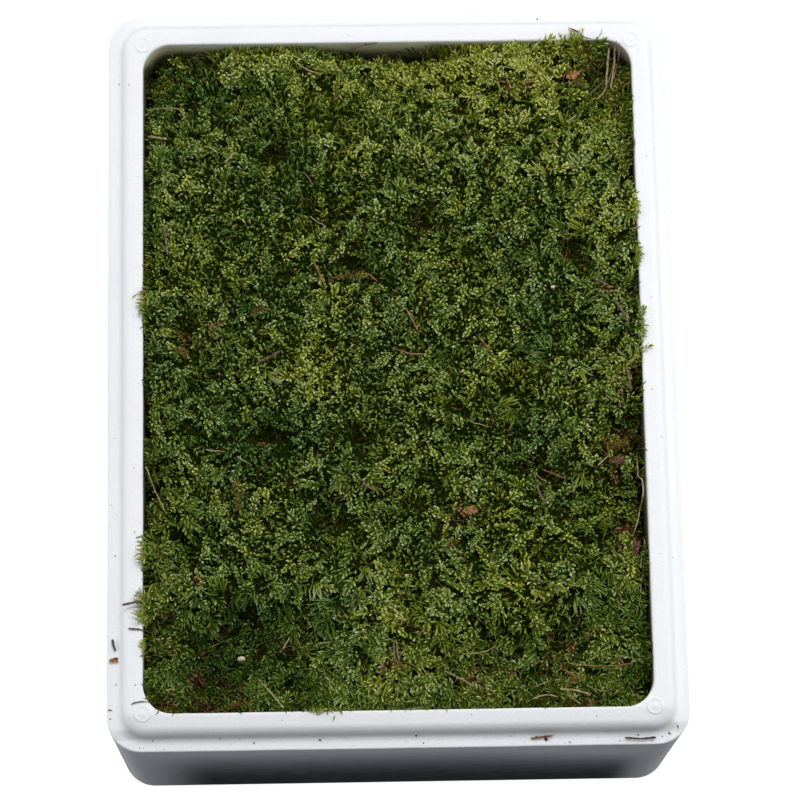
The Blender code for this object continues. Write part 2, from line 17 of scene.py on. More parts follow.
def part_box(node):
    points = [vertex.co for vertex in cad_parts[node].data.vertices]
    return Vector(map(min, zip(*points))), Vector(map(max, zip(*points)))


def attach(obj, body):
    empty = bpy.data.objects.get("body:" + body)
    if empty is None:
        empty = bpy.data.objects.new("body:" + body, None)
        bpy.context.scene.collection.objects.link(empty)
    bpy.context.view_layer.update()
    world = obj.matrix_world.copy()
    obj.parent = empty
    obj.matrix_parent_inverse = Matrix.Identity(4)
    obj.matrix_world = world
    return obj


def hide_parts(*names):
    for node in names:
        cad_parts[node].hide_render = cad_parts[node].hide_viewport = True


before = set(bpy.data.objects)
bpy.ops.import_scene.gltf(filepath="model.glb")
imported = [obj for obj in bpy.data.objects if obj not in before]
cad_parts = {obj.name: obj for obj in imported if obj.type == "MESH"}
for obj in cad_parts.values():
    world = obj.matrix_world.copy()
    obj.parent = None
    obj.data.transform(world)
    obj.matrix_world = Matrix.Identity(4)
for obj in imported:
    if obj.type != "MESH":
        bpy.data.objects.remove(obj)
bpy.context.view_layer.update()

log = logging.getLogger("moss_tray")

MM = 0.001
BODY = "root"
Colour = Tuple[float, float, float]
Places = Sequence[Sequence[float]]
Array = np.ndarray
Random = np.random.Generator
Socket = bpy.types.NodeSocket
Stops = Sequence[Tuple[float, Colour]]
Material = bpy.types.Material


class Slot(Enum):
    """Material slots."""

    FOAM = "foam"
    MOSS = "moss"
    PINE_NEEDLE = "pine_needle"
    STRAW = "straw"
    GRASS_STEM = "grass_stem"
    TWIG = "twig"
    LEAF_SCRAP = "leaf_scrap"
    CRUMB = "crumb"


# Sizes that several pieces share
OPENING_HALF_X = 131.2 * MM
OPENING_HALF_Y = 181.2 * MM
OPENING_CORNER = 15 * MM
RIM_LEVEL = 140 * MM
FLOOR_LEVEL = 18.4 * MM
INNER_DRAFT = 3.0 * MM

# Share of the mat below a point that counts as grown over
COVERED = 0.6

# How far the maps of the moss stay inside their square
MAP_MARGIN = 0.012

# Map units for a metre along a tube
ALONG_SCALE = 10.0

UP = np.array([0.0, 0.0, 1.0])

# Places on the mat in millimetres, read off the photograph's view
YELLOW_PATCHES = (
    (83, 174, 12), (66, 174, 12), (52, 172, 12), (36, 170, 14), (20, 166, 12), (-62, 173, 14),
    (-85, 178, 10), (109, 82, 14), (128, 82, 10), (-2, -133, 14), (52, -123, 12), (119, -12, 14),
    (86, 145, 14), (-15, 121, 12), (99, 115, 16), (-104, 106, 12), (-8, -165, 12), (60, 150, 22),
)
DEEP_PATCHES = (
    (-108, 152, 15), (-112, 122, 11), (-82, -130, 18), (-83, -34, 14), (-50, 116, 12), (-66, -36, 12),
    (-21, 61, 12), (-66, 150, 12), (74, -42, 14), (-69, -56, 12), (-50, -33, 12), (-67, 36, 12),
    (-72, 125, 10), (80, 13, 12), (-95, -152, 26), (-60, -140, 18),
)
BROWN_PATCHES = (
    (116, -50, 9), (91, -175, 8), (123, -91, 9), (123, -39, 8), (82, -148, 7), (36, -162, 11),
    (58, -158, 7), (119, 172, 9), (118, 157, 7), (39, -78, 5), (77, -58, 5), (98, 162, 6), (-1, -153, 5),
    (69, 156, 5), (126, -7, 5), (17, 77, 4), (-104, 13, 5), (-85, -174, 7), (-124, -140, 7),
    (-104, -174, 9), (-88, -176, 6), (-122, -176, 6), (127, -36, 5), (128, -89, 5), (89, -177, 6),
    (127, -6, 5), (115, 178, 5), (-128, 166, 4), (-100, -153, 7), (-62, -143, 6), (61, -33, 5), (93, 65, 5),
    (128, 43, 5), (113, 158, 5), (124, 174, 6),
)
# Hollows: the moss sinks there, and its tone is lowered there as painted shade
DARK_HOLLOWS = (
    (-93, -154, 17), (-83, -131, 12), (-69, -140, 11), (-45, -138, 9), (-122, 164, 14), (53, -147, 12),
    (74, -167, 9), (87, -145, 9), (122, -35, 8), (119, -70, 9), (126, -168, 7), (20, 181, 16), (15, -63, 8),
    (-112, -92, 8), (15, 82, 8), (-19, -37, 7), (-34, -78, 9), (-39, 85, 9), (-47, -173, 7), (-26, -86, 6),
    (-101, -136, 7), (99, 65, 7), (-107, 21, 7), (-81, 153, 7), (-19, 59, 7), (104, -93, 6), (-66, -36, 9),
    (74, -57, 8), (-60, 123, 7), (-125, -55, 7), (113, 170, 8), (-2, -140, 5), (40, -163, 7),
    (-123, -133, 8), (-126, -112, 5), (67, 142, 6), (111, 60, 6), (120, 150, 7), (-128, -13, 6),
    (86, 119, 6), (57, -114, 6), (-128, 101, 6), (-91, -71, 6), (105, -153, 7), (75, -136, 6),
    (-30, -166, 6), (-99, -156, 9), (-86, -164, 8), (-58, -160, 11), (-47, -174, 7), (-92, -176, 5),
    (78, -86, 6), (71, -100, 7), (36, -115, 6), (120, -90, 5), (14, -111, 6), (-91, 133, 6), (-86, 125, 5),
    (74, -167, 5), (63, -175, 5), (-61, 23, 6), (-123, 54, 6), (-104, 41, 5), (56, 126, 5), (2, -42, 5),
    (-123, -34, 5), (55, -147, 5), (17, -154, 5), (-121, 158, 6), (-100, 172, 7), (-42, -137, 5),
    (88, 170, 6), (-22, 174, 5), (-127, -79, 5), (59, -15, 6), (-109, 144, 5), (114, 148, 8), (112, 170, 8),
    (99, 142, 5), (119, 142, 6), (-23, 137, 6), (37, -25, 6), (-78, 15, 5), (92, -63, 5), (-38, 45, 5),
    (-115, -93, 6), (-69, -65, 5), (102, -124, 5), (-40, 158, 5), (12, 105, 5), (123, -137, 5),
    (26, -147, 5), (41, 91, 5), (97, -75, 5), (-122, 80, 5), (-52, -120, 6), (-80, 32, 6), (98, 139, 5),
    (57, 61, 6), (109, -167, 7), (22, -79, 6), (-21, 82, 6), (-9, 45, 6), (-118, -165, 6), (99, -42, 5),
    (-14, -79, 5), (114, -121, 6), (107, 11, 6),
)
BRIGHT_TUFTS = (
    (81, 86, 9), (53, 112, 9), (22, -55, 8), (34, 55, 8), (128, -167, 6), (-39, 11, 8), (53, 73, 8),
    (24, 172, 12), (21, -54, 6), (22, 91, 7), (-10, -67, 6), (-29, 91, 6), (-102, 179, 5), (-81, 94, 6),
    (-44, -81, 6), (-128, -175, 5), (54, -177, 5), (7, -13, 9), (-10, 6, 9), (127, 94, 5), (-62, -15, 8),
    (-58, -55, 12), (-94, 107, 6), (-19, -153, 6), (122, -18, 5), (42, -124, 6), (-128, 179, 4),
    (39, 178, 8), (-106, -144, 6), (58, -127, 7), (-43, -57, 7), (-45, -81, 7), (-43, -116, 8),
    (90, -124, 8),
)

# Gaps between the mat and the wall: x, y and half length in millimetres
WALL_GAPS = (
    (-8, 181, 30), (-131, 150, 12), (-131, 122, 14), (-131, -26, 12), (-131, -70, 16), (-131, -150, 9),
    (131, -30, 8), (131, -74, 22), (131, -128, 16), (126, 176, 10), (-123, 174, 14), (130, -170, 9),
    (131, 110, 10), (-95, -181, 10), (-103, 181, 16),
)

# Tufts that lean out over the collar: x, y, half length and reach in millimetres
RIM_TUFTS = (
    (101, 181, 7, 4.0), (101, 181, 2, 8.5), (-131, 37, 9, 4.5), (-131, -97, 6, 6.5), (-131, -123, 7, 7.0),
    (-131, -132, 4, 8.0), (-131, -147, 4, 3.5), (131, 88, 6, 4.5), (131, 60, 6, 4.5), (131, 17, 4, 4.5),
    (-40, -181, 8, 2.5),
)


# Shading


def operator(operation: str, reflected: bool = False) -> Callable[["Signal", "Level"], "Signal"]:
    """A method of Signal that adds one Math node, with its inputs swapped for a reflected form."""

    def work(self: "Signal", other: "Level") -> "Signal":
        """The node's result."""
        return self.math(operation, *((other, self) if reflected else (self, other)))

    return work


class Signal:
    """A shader socket that takes part in Python arithmetic by adding Math nodes."""

    def __init__(self, finish: "NodeTree", socket: Socket) -> None:
        """Wraps one socket of a node tree."""
        self.finish, self.socket = finish, socket

    def math(self, operation: str, *values: "Level") -> "Signal":
        """The result of a Math node with this operation and these inputs."""
        node = self.finish.node("ShaderNodeMath", {"operation": operation}, dict(enumerate(values)))
        return Signal(self.finish, node.outputs[0])

    def __abs__(self) -> "Signal":
        """The size of self."""
        return self.math("ABSOLUTE", self)

    __add__, __radd__ = operator("ADD"), operator("ADD", True)
    __sub__, __rsub__ = operator("SUBTRACT"), operator("SUBTRACT", True)
    __mul__, __rmul__ = operator("MULTIPLY"), operator("MULTIPLY", True)
    __truediv__, power = operator("DIVIDE"), operator("POWER")
    at_least, at_most = operator("MAXIMUM"), operator("MINIMUM")

    def step(self, low: float, high: float) -> "Signal":
        """A smooth step from 0 at low to 1 at high; low may be the larger one."""
        settings = {"interpolation_type": "SMOOTHSTEP", "clamp": True}
        ends = (0.0, 1.0) if high > low else (1.0, 0.0)
        inputs = {0: self, 1: min(low, high), 2: max(low, high), 3: ends[0], 4: ends[1]}
        return Signal(self.finish, self.finish.node("ShaderNodeMapRange", settings, inputs).outputs[0])


Level = Union[Signal, float]
Paint = Union[Socket, Colour]


class NodeTree:
    """A shader node tree that nodes are added to with their settings and sockets in one call."""

    def __init__(self, tree: bpy.types.NodeTree) -> None:
        """Wraps a tree."""
        self.tree = tree

    def node(self, kind: str, settings: Dict, inputs: Dict) -> bpy.types.Node:
        """Adds a node: its settings first, then the values or links of its sockets.

        Args:
            kind: The node's type.
            settings: Its properties; "stops" fills a colour ramp.
            inputs: Socket name or number to a number, colour, socket or Signal.
        Returns:
            The node.
        """
        node = self.tree.nodes.new(kind)
        for key, value in settings.items():
            if key == "stops":
                self.fill_ramp(node.color_ramp, value)
            else:
                setattr(node, key, value)
        for key, value in inputs.items():
            source = value.socket if isinstance(value, Signal) else value
            if isinstance(source, Socket):
                self.tree.links.new(source, node.inputs[key])
            else:
                node.inputs[key].default_value = source
        return node

    @staticmethod
    def fill_ramp(ramp: bpy.types.ColorRamp, stops: Stops) -> None:
        """Puts stops of place and colour into a ramp that starts with two."""
        for position, _ in stops[2:]:
            ramp.elements.new(position)
        for element, (position, colour) in zip(ramp.elements, stops):
            element.position = position
            element.color = (*colour, 1.0)

    def ramp(self, factor: Signal, stops: Stops) -> Socket:
        """A colour read from a ramp."""
        return self.node("ShaderNodeValToRGB", {"stops": stops}, {0: factor}).outputs[0]

    def axes(self, vector: Socket) -> Tuple[Signal, Signal, Signal]:
        """The three parts of a vector."""
        split = self.node("ShaderNodeSeparateXYZ", {}, {0: vector})
        return tuple(Signal(self, output) for output in split.outputs)


class Finish(NodeTree):
    """A node material under construction, around one Principled shader."""

    def __init__(self, name: str, roughness: float, specular: float = 0.5) -> None:
        """Starts a material with one roughness and specular level all over."""
        self.material = bpy.data.materials.new(name)
        self.material.use_nodes = True
        super().__init__(self.material.node_tree)
        self.shader = self.tree.nodes["Principled BSDF"]
        self.shader.inputs["Roughness"].default_value = roughness
        self.shader.inputs["Specular IOR Level"].default_value = specular

    def place(self) -> Socket:
        """Object coordinates, in metres."""
        return self.node("ShaderNodeTexCoord", {}, {}).outputs["Object"]

    def map(self, name: str) -> Socket:
        """The piece's own UV map of that name."""
        return self.node("ShaderNodeUVMap", {"uv_map": name}, {}).outputs["UV"]

    def stretch(self, vector: Socket, scale: Sequence[float]) -> Socket:
        """A vector with each part multiplied."""
        return self.node("ShaderNodeMapping", {}, {0: vector, "Scale": scale}).outputs[0]

    def noise(self, vector: Socket, size: float, detail: float) -> Signal:
        """Noise from 0 to 1 whose lumps are about size wide."""
        inputs = {"Vector": vector, "Scale": 1 / size, "Detail": detail}
        return Signal(self, self.node("ShaderNodeTexNoise", {}, inputs).outputs[0])

    def cells(self, vector: Socket, size: float, feature: str = "F1") -> bpy.types.Node:
        """A Voronoi node whose cells are about size wide."""
        return self.node("ShaderNodeTexVoronoi", {"feature": feature}, {"Vector": vector, "Scale": 1 / size})

    def blend(self, factor: Level, first: Paint, second: Paint) -> Socket:
        """Two colours mixed by a Mix node."""
        pair = [(*c, 1.0) if isinstance(c, tuple) else c for c in (first, second)]
        settings = {"data_type": "RGBA", "clamp_factor": True}
        return self.node("ShaderNodeMix", settings, {0: factor, 6: pair[0], 7: pair[1]}).outputs[2]

    def wear(self, colour: Socket, height: Optional[Signal] = None,
             rise: float = 0.1 * MM, strength: float = 0.5) -> Material:
        """Joins colour and bump to the shader.

        Args:
            colour: The base colour.
            height: The bump's height from 0 to 1, if any.
            rise: What a height of 1 stands for.
            strength: The bump's strength.
        Returns:
            The finished material.
        """
        self.tree.links.new(colour, self.shader.inputs["Base Color"])
        if height is not None:
            inputs = {"Strength": strength, "Distance": rise, "Height": height}
            bump = self.node("ShaderNodeBump", {}, inputs)
            self.tree.links.new(bump.outputs[0], self.shader.inputs["Normal"])
        return self.material


@dataclass(frozen=True)
class FoamFinish:
    """White bead foam: beads with faint seams, smudges and a stained mouth, with painted shade down the
    opening's walls, on the front collar and step, and towards the outer walls' foot.
    """

    bead: float = 2.9 * MM
    white: Colour = (0.88, 0.89, 0.905)
    seam: Colour = (0.72, 0.735, 0.76)
    smudge: Colour = (0.76, 0.775, 0.80)
    stain: Colour = (0.64, 0.62, 0.35)
    # Painted shade down the opening's walls
    painted_recess_shade: Colour = (0.10, 0.085, 0.045)
    # Painted shade on the front step and along the front of the collar
    painted_shade_grey: Colour = (0.36, 0.37, 0.345)
    # Painted shade at the foot of the outer walls
    foot: Colour = (0.010, 0.013, 0.016)

    def dress(self) -> Material:
        """Builds the material."""
        finish = Finish("bead foam", roughness=0.62, specular=0.35)
        place = finish.place()
        x, y, z = finish.axes(place)
        edge = Signal(finish, finish.cells(place, self.bead, "DISTANCE_TO_EDGE").outputs["Distance"])
        seam = edge.step(0.10, 0.0)
        tint = Signal(finish, finish.cells(place, self.bead).outputs["Color"])
        smudges = finish.noise(place, 34 * MM, 4).step(0.52, 0.8)
        grain = finish.noise(place, 0.7 * MM, 2)
        colour = finish.blend(tint * 0.14, self.white, self.smudge)
        colour = finish.blend(seam * 0.10, colour, self.seam)
        colour = finish.blend(smudges * 0.25, colour, self.smudge)

        past_x = (abs(x) - (OPENING_HALF_X - OPENING_CORNER)).at_least(0.0)
        past_y = (abs(y) - (OPENING_HALF_Y - OPENING_CORNER)).at_least(0.0)
        from_corner = (past_x * past_x + past_y * past_y).power(0.5)
        inside = from_corner.step(OPENING_CORNER + 0.3 * MM, OPENING_CORNER - 0.2 * MM)
        patchy = finish.noise(place, 6 * MM, 5).step(0.32, 0.66)
        at_side = abs(x).step(121 * MM, 130 * MM) * abs(y).step(176 * MM, 168 * MM)
        stained = z.step(140.4 * MM, 133 * MM) * 0.80 + patchy * 0.22
        colour = finish.blend(inside * stained.at_most(1.0), colour, self.stain)
        # Painted shade down the opening's walls: dark just below the mouth at the sides, and deeper down all
        # round
        recess_shade = at_side * z.step(139.8 * MM, 135 * MM) * 0.85 + z.step(134 * MM, 124 * MM) * 0.75
        colour = finish.blend(inside * recess_shade.at_most(1.0), colour, self.painted_recess_shade)

        # Painted shade on the outer walls: near black at the foot, fading upwards, strongest along the
        # front, and streaky
        front = y.step(-193 * MM, -196 * MM) * x.step(-145 * MM, -98 * MM) * x.step(138 * MM, 114 * MM)
        rest = abs(x).step(143 * MM, 147 * MM) + y.step(193 * MM, 197 * MM)
        wall = z.step(131.5 * MM, 129 * MM)
        reach = x.step(20 * MM, 125 * MM) * -0.018 + 0.121
        unshaded = (z / reach).at_most(1.0).at_least(0.0).power(2.6)
        streaks = finish.noise(finish.stretch(place, (0.32, 0.5, 1.5)), 3.0 * MM, 4)
        foot_shade = (1.0 - unshaded) * (front + rest.at_most(1.0) * 0.35).at_most(1.0)
        foot_shade = foot_shade + (streaks - 0.5) * (front * 0.22 + 0.10)
        colour = finish.blend(wall * foot_shade, colour, self.foot)
        # Painted shade on the front step, made patchy by the smudges, and along the front of the collar
        low_step = z.step(138.0 * MM, 134.0 * MM) * z.step(131.8 * MM, 132.6 * MM)
        step_shade = low_step * y.step(-187 * MM, -190 * MM) * (0.50 + smudges * 0.35)
        step_shade = step_shade * (1.0 - y.step(-192.8 * MM, -194.6 * MM) * 0.80)
        shaded = y.step(-180 * MM, -184 * MM) * z.step(138.4 * MM, 139.6 * MM)
        colour = finish.blend(shaded * 0.22, colour, self.painted_shade_grey)
        colour = finish.blend(step_shade, colour, self.painted_shade_grey)
        height = edge.step(0.0, 0.42) + grain * 0.30
        return finish.wear(colour, height, rise=0.14 * MM, strength=0.32)


@dataclass(frozen=True)
class MossFinish:
    """Leaf colour read from the map on each leaflet: tone from a dark foot, which is painted shade, to a
    pale tip, which is partly a painted highlight; hue from deep green to dead brown.
    """

    # Each ramp runs from painted shade at tone 0 to a pale painted highlight at tone 1
    deep: Stops = (
        (0.0, (0.003, 0.009, 0.0005)), (0.3, (0.017, 0.046, 0.003)), (0.6, (0.066, 0.142, 0.017)),
        (0.85, (0.207, 0.315, 0.115)), (1.0, (0.465, 0.545, 0.38)),
    )
    green: Stops = (
        (0.0, (0.007, 0.013, 0.0005)), (0.3, (0.039, 0.070, 0.003)), (0.6, (0.134, 0.202, 0.017)),
        (0.85, (0.325, 0.402, 0.115)), (1.0, (0.58, 0.635, 0.42)),
    )
    yellow: Stops = (
        (0.0, (0.009, 0.010, 0.0005)), (0.3, (0.075, 0.090, 0.004)), (0.6, (0.255, 0.295, 0.018)),
        (0.85, (0.485, 0.505, 0.105)), (1.0, (0.66, 0.67, 0.38)),
    )
    brown: Stops = (
        (0.0, (0.006, 0.003, 0.001)), (0.3, (0.045, 0.019, 0.006)), (0.6, (0.16, 0.074, 0.022)),
        (0.85, (0.35, 0.20, 0.075)), (1.0, (0.60, 0.47, 0.27)),
    )

    def dress(self) -> Material:
        """Builds the material."""
        finish = Finish("moss leaf", roughness=0.38, specular=0.28)
        tone, hue, _ = finish.axes(finish.map("OFBake"))
        colour = finish.ramp(tone, self.deep)
        steps = ((0.0, 0.34, self.green), (0.34, 0.68, self.yellow), (0.78, 0.92, self.brown))
        for low, high, stops in steps:
            colour = finish.blend(hue.step(low, high), colour, finish.ramp(tone, stops))
        return finish.wear(colour)


@dataclass(frozen=True)
class ThatchFinish:
    """The mat under the shoots: dark rotting stems with brown and olive threads."""

    dark: Colour = (0.010, 0.016, 0.001)
    brown: Colour = (0.060, 0.028, 0.008)
    olive: Colour = (0.026, 0.040, 0.004)

    def dress(self) -> Material:
        """Builds the material."""
        finish = Finish("moss thatch", roughness=1.0, specular=0.0)
        place = finish.place()
        threads = finish.noise(place, 1.1 * MM, 4)
        clumps = finish.noise(place, 11 * MM, 3)
        colour = finish.blend(threads.step(0.42, 0.70), self.dark, self.olive)
        colour = finish.blend(threads.step(0.48, 0.72) * clumps.step(0.45, 0.62), colour, self.brown)
        return finish.wear(colour, threads, rise=1.2 * MM, strength=0.9)


@dataclass(frozen=True)
class StalkFinish:
    """A dry stalk with streaks along it, blotches across it and paler worn spots."""

    name: str
    body: Colour
    dark: Colour
    pale: Colour
    roughness: float
    streak: float = 0.5
    blotch: float = 2.4 * MM

    def dress(self) -> Material:
        """Builds the material."""
        finish = Finish(self.name, roughness=self.roughness, specular=0.4)
        place = finish.place()
        along = finish.stretch(finish.map("Along"), (5.0, 180.0, 1.0))
        streaks = finish.noise(along, 1.0, 3)
        blotches = finish.noise(place, self.blotch, 4)
        colour = finish.blend(streaks.step(0.40, 0.66) * self.streak, self.body, self.dark)
        colour = finish.blend(blotches.step(0.50, 0.66) * 0.75, colour, self.dark)
        colour = finish.blend(blotches.step(0.46, 0.30) * 0.55, colour, self.pale)
        return finish.wear(colour, streaks, rise=0.12 * MM, strength=0.6)


@dataclass(frozen=True)
class ScrapFinish:
    """Dead leaf, bark or crumb: mottled, with darker veins and a paler bloom."""

    name: str
    body: Colour
    dark: Colour
    pale: Colour
    mottle: float = 1.6 * MM

    def dress(self) -> Material:
        """Builds the material."""
        finish = Finish(self.name, roughness=0.78, specular=0.25)
        place = finish.place()
        mottles = finish.noise(place, self.mottle, 5)
        edge = Signal(finish, finish.cells(place, 1.3 * MM, "DISTANCE_TO_EDGE").outputs["Distance"])
        colour = finish.blend(mottles.step(0.44, 0.68), self.body, self.dark)
        colour = finish.blend(mottles.step(0.45, 0.28) * 0.7, colour, self.pale)
        colour = finish.blend(edge.step(0.10, 0.0) * 0.5, colour, self.dark)
        return finish.wear(colour, mottles, rise=0.35 * MM, strength=0.7)


NEEDLE_FINISH = StalkFinish(
    "dry needle", (0.21, 0.075, 0.026), (0.060, 0.020, 0.010), (0.46, 0.27, 0.14), 0.36, 0.35)
STRAW_FINISH = StalkFinish(
    "dry straw", (0.38, 0.30, 0.145), (0.16, 0.105, 0.046), (0.62, 0.55, 0.36), 0.50, 0.6)
STEM_FINISH = StalkFinish(
    "grass stem", (0.42, 0.33, 0.15), (0.16, 0.10, 0.040), (0.64, 0.56, 0.34), 0.50, 0.6)
TWIG_FINISH = StalkFinish(
    "twig bark", (0.17, 0.105, 0.070), (0.035, 0.020, 0.014), (0.36, 0.28, 0.21), 0.70, 0.5, 1.6 * MM)
DARK_STRAW_FINISH = StalkFinish(
    "brown straw", (0.15, 0.085, 0.055), (0.040, 0.020, 0.014), (0.34, 0.24, 0.17), 0.50, 0.6)
BLACK_TWIG_FINISH = StalkFinish(
    "black twig", (0.042, 0.030, 0.026), (0.010, 0.007, 0.006), (0.13, 0.098, 0.082), 0.60, 0.5, 2.6 * MM)
TAN_NEEDLE_FINISH = StalkFinish(
    "tan needle", (0.25, 0.125, 0.050), (0.065, 0.028, 0.014), (0.48, 0.32, 0.16), 0.36, 0.35, 5.0 * MM)
LEAF_FINISH = ScrapFinish("dead leaf", (0.36, 0.165, 0.062), (0.11, 0.040, 0.016), (0.60, 0.38, 0.19))
DARK_LEAF_FINISH = ScrapFinish("dark leaf", (0.15, 0.058, 0.038), (0.045, 0.017, 0.013), (0.38, 0.22, 0.15))
CRUMB_FINISH = ScrapFinish(
    "pale crumb", (0.72, 0.62, 0.50), (0.38, 0.26, 0.17), (0.86, 0.80, 0.72), 1.1 * MM)
DIRT_FINISH = ScrapFinish(
    "peat speck", (0.060, 0.042, 0.030), (0.018, 0.013, 0.010), (0.16, 0.11, 0.075), 0.8 * MM)


# Mesh maths


@dataclass
class Shape:
    """Vertices, groups of faces with equal sides, and map values of the vertices if it has any."""

    vertices: Array
    faces: List[Array]
    marks: Optional[Array] = None

    def triangles(self) -> int:
        """How many triangles the shape has."""
        return sum(len(group) * (group.shape[1] - 2) for group in self.faces)

    @staticmethod
    def join(shapes: Sequence["Shape"]) -> "Shape":
        """One shape from several."""
        offsets = np.cumsum([0] + [len(shape.vertices) for shape in shapes])
        groups = [group + offset for shape, offset in zip(shapes, offsets) for group in shape.faces]
        marks = None
        if all(shape.marks is not None for shape in shapes):
            marks = np.concatenate([shape.marks for shape in shapes])
        return Shape(np.concatenate([shape.vertices for shape in shapes]), groups, marks)


def pack(*parts: Array) -> Array:
    """Arrays side by side along a new last axis."""
    return np.stack(parts, axis=-1)


def unit(vectors: Array) -> Array:
    """Vectors scaled to length one along their last axis."""
    return vectors / np.maximum(np.linalg.norm(vectors, axis=-1, keepdims=True), 1e-12)


def flat_angle(angle: Array) -> Array:
    """Level unit vectors at these angles from +X."""
    return pack(np.cos(angle), np.sin(angle), np.zeros_like(angle))


def grade(value: Array, low: float, high: float) -> Array:
    """How far a value is on the way from low to high, from 0 to 1; low may be the larger one."""
    return np.clip((value - low) / (high - low), 0, 1)


def bilinear(table: Array, u: Array, v: Array, smooth: bool = False) -> Array:
    """Values between the entries of a table.

    Args:
        table: The entries on a square lattice.
        u: Place along its first side, in entries.
        v: Place along its second side.
        smooth: Joins them by the smooth step 3t^2 - 2t^3, and repeats the table.
    Returns:
        A value for each place.
    """
    i, j = np.floor(u).astype(int), np.floor(v).astype(int)
    s, t = u - i, v - j
    if smooth:
        s, t = s * s * (3 - 2 * s), t * t * (3 - 2 * t)
        i, j = i % (len(table) - 1), j % (len(table) - 1)
    low = table[i, j] * (1 - s) + table[i + 1, j] * s
    high = table[i, j + 1] * (1 - s) + table[i + 1, j + 1] * s
    return low * (1 - t) + high * t


def smooth_noise(x: Array, y: Array, cell: float, seed: int) -> Array:
    """Noise from -1 to 1: random values on a square lattice of this cell size, joined smoothly."""
    lattice = np.random.default_rng(seed).uniform(-1, 1, (256, 256))
    return bilinear(lattice, x / cell + 128, y / cell + 128, smooth=True)


def nearness(places: Places, x: Array, y: Array, power: int = 1) -> Array:
    """Sum of bells exp(-(distance / radius)^(2 power)) around places of x, y and radius in millimetres."""
    total = np.zeros_like(x)
    for place_x, place_y, radius in places:
        far = ((x - place_x * MM) ** 2 + (y - place_y * MM) ** 2) / (radius * MM) ** 2
        total += np.exp(-far ** power)
    return np.clip(total, 0, 1)


def rounded_inset(x: Array, y: Array, half_x: float, half_y: float, corner: float) -> Array:
    """Distance inwards from the edge of a rounded rectangle.

    Args:
        x: The points' x.
        y: The points' y.
        half_x: Half the rectangle's first size.
        half_y: Half its second size.
        corner: Its corner radius.
    Returns:
        A distance for each point, negative outside.
    """
    qx, qy = np.abs(x) - (half_x - corner), np.abs(y) - (half_y - corner)
    past = np.hypot(np.maximum(qx, 0), np.maximum(qy, 0))
    return corner - past - np.minimum(np.maximum(qx, qy), 0)


def grid_faces(rows: int, columns: int, closed: bool = False) -> Array:
    """Quads over a grid whose index is row * columns + column, closed around its columns if asked."""
    i, j = np.meshgrid(np.arange(rows - 1), np.arange(columns if closed else columns - 1), indexing="ij")
    k = (j + 1) % columns
    quads = pack(i * columns + j, i * columns + k, (i + 1) * columns + k, (i + 1) * columns + j)
    return quads.reshape(-1, 4)


def grid_ends(rows: int, columns: int) -> List[Array]:
    """The two flat faces that close a grid's first row and its last one, which is turned round."""
    around = np.arange(columns)[None]
    return [around, (rows - 1) * columns + around[:, ::-1]]


def copied(groups: Sequence[Array], copies: int, each: int) -> List[Array]:
    """Groups of faces repeated for copies of a shape that has this many vertices each."""
    offset = (np.arange(copies) * each)[:, None, None]
    return [(group[None] + offset).reshape(-1, group.shape[1]) for group in groups]


def sweep(lines: Array, radii: Array, sides: int) -> Shape:
    """Closed tubes along many lines: ring point = centre + radius (cos a across + sin a above).

    Args:
        lines: Centre points, tubes by points by 3.
        radii: Radius at each point, or at each point and side.
        sides: Corners of each ring.
    Returns:
        The tubes with flat ends, and turn around and scaled length along as their map.
    """
    tubes, points, _ = lines.shape
    ahead = unit(np.gradient(lines, axis=1))
    steep = np.abs(ahead[:, :, 2]).mean(axis=1) > 0.8
    upright = np.where(steep[:, None], np.array([[1.0, 0, 0]]), np.array([[0, 0, 1.0]]))
    across = unit(np.cross(ahead, upright[:, None, :]))
    above = np.cross(across, ahead)
    if radii.ndim == 2:
        radii = np.repeat(radii[:, :, None], sides, axis=2)
    angle = (2 * np.pi * np.arange(sides) / sides)[:, None]
    ring = np.cos(angle) * across[:, :, None] + np.sin(angle) * above[:, :, None]
    vertices = lines[:, :, None] + radii[..., None] * ring
    quads = grid_faces(points, sides, closed=True)[:, [0, 3, 2, 1]]
    length = np.cumsum(np.linalg.norm(np.diff(lines, axis=1, prepend=lines[:, :1]), axis=2), axis=1)
    around = np.broadcast_to(np.arange(sides) / sides, (tubes, points, sides))
    marks = pack(around, np.broadcast_to(ALONG_SCALE * length[..., None], around.shape))
    faces = copied([quads, *grid_ends(points, sides)], tubes, points * sides)
    return Shape(vertices.reshape(-1, 3), faces, marks.reshape(-1, 2))


def smooth_line(points: Array, count: int) -> Array:
    """Evenly numbered points on a Catmull-Rom curve through the given ones."""
    padded = np.concatenate([2 * points[:1] - points[1:2], points, 2 * points[-1:] - points[-2:-1]])
    place = np.linspace(0, len(points) - 1, count)
    i = np.minimum(place.astype(int), len(points) - 2)
    t = (place - i)[:, None]
    a, b, c, d = (padded[i + k] for k in range(4))
    squared, cubed = 2 * a - 5 * b + 4 * c - d, 3 * b - a - 3 * c + d
    return 0.5 * (2 * b + (c - a) * t + squared * t ** 2 + cubed * t ** 3)


def map_marks(tone: Array, hue: Array) -> Array:
    """Tone and hue side by side, kept clear of the map's edges."""
    return np.clip(pack(tone, hue), MAP_MARGIN, 1 - MAP_MARGIN)


SHORT_RINGS = ((0.32, 0.75, 0.42), (0.80, 0.80, 0.52))
LONG_RINGS = ((0.20, 0.55, 0.36), (0.52, 1.00, 0.50), (0.83, 0.72, 0.42))


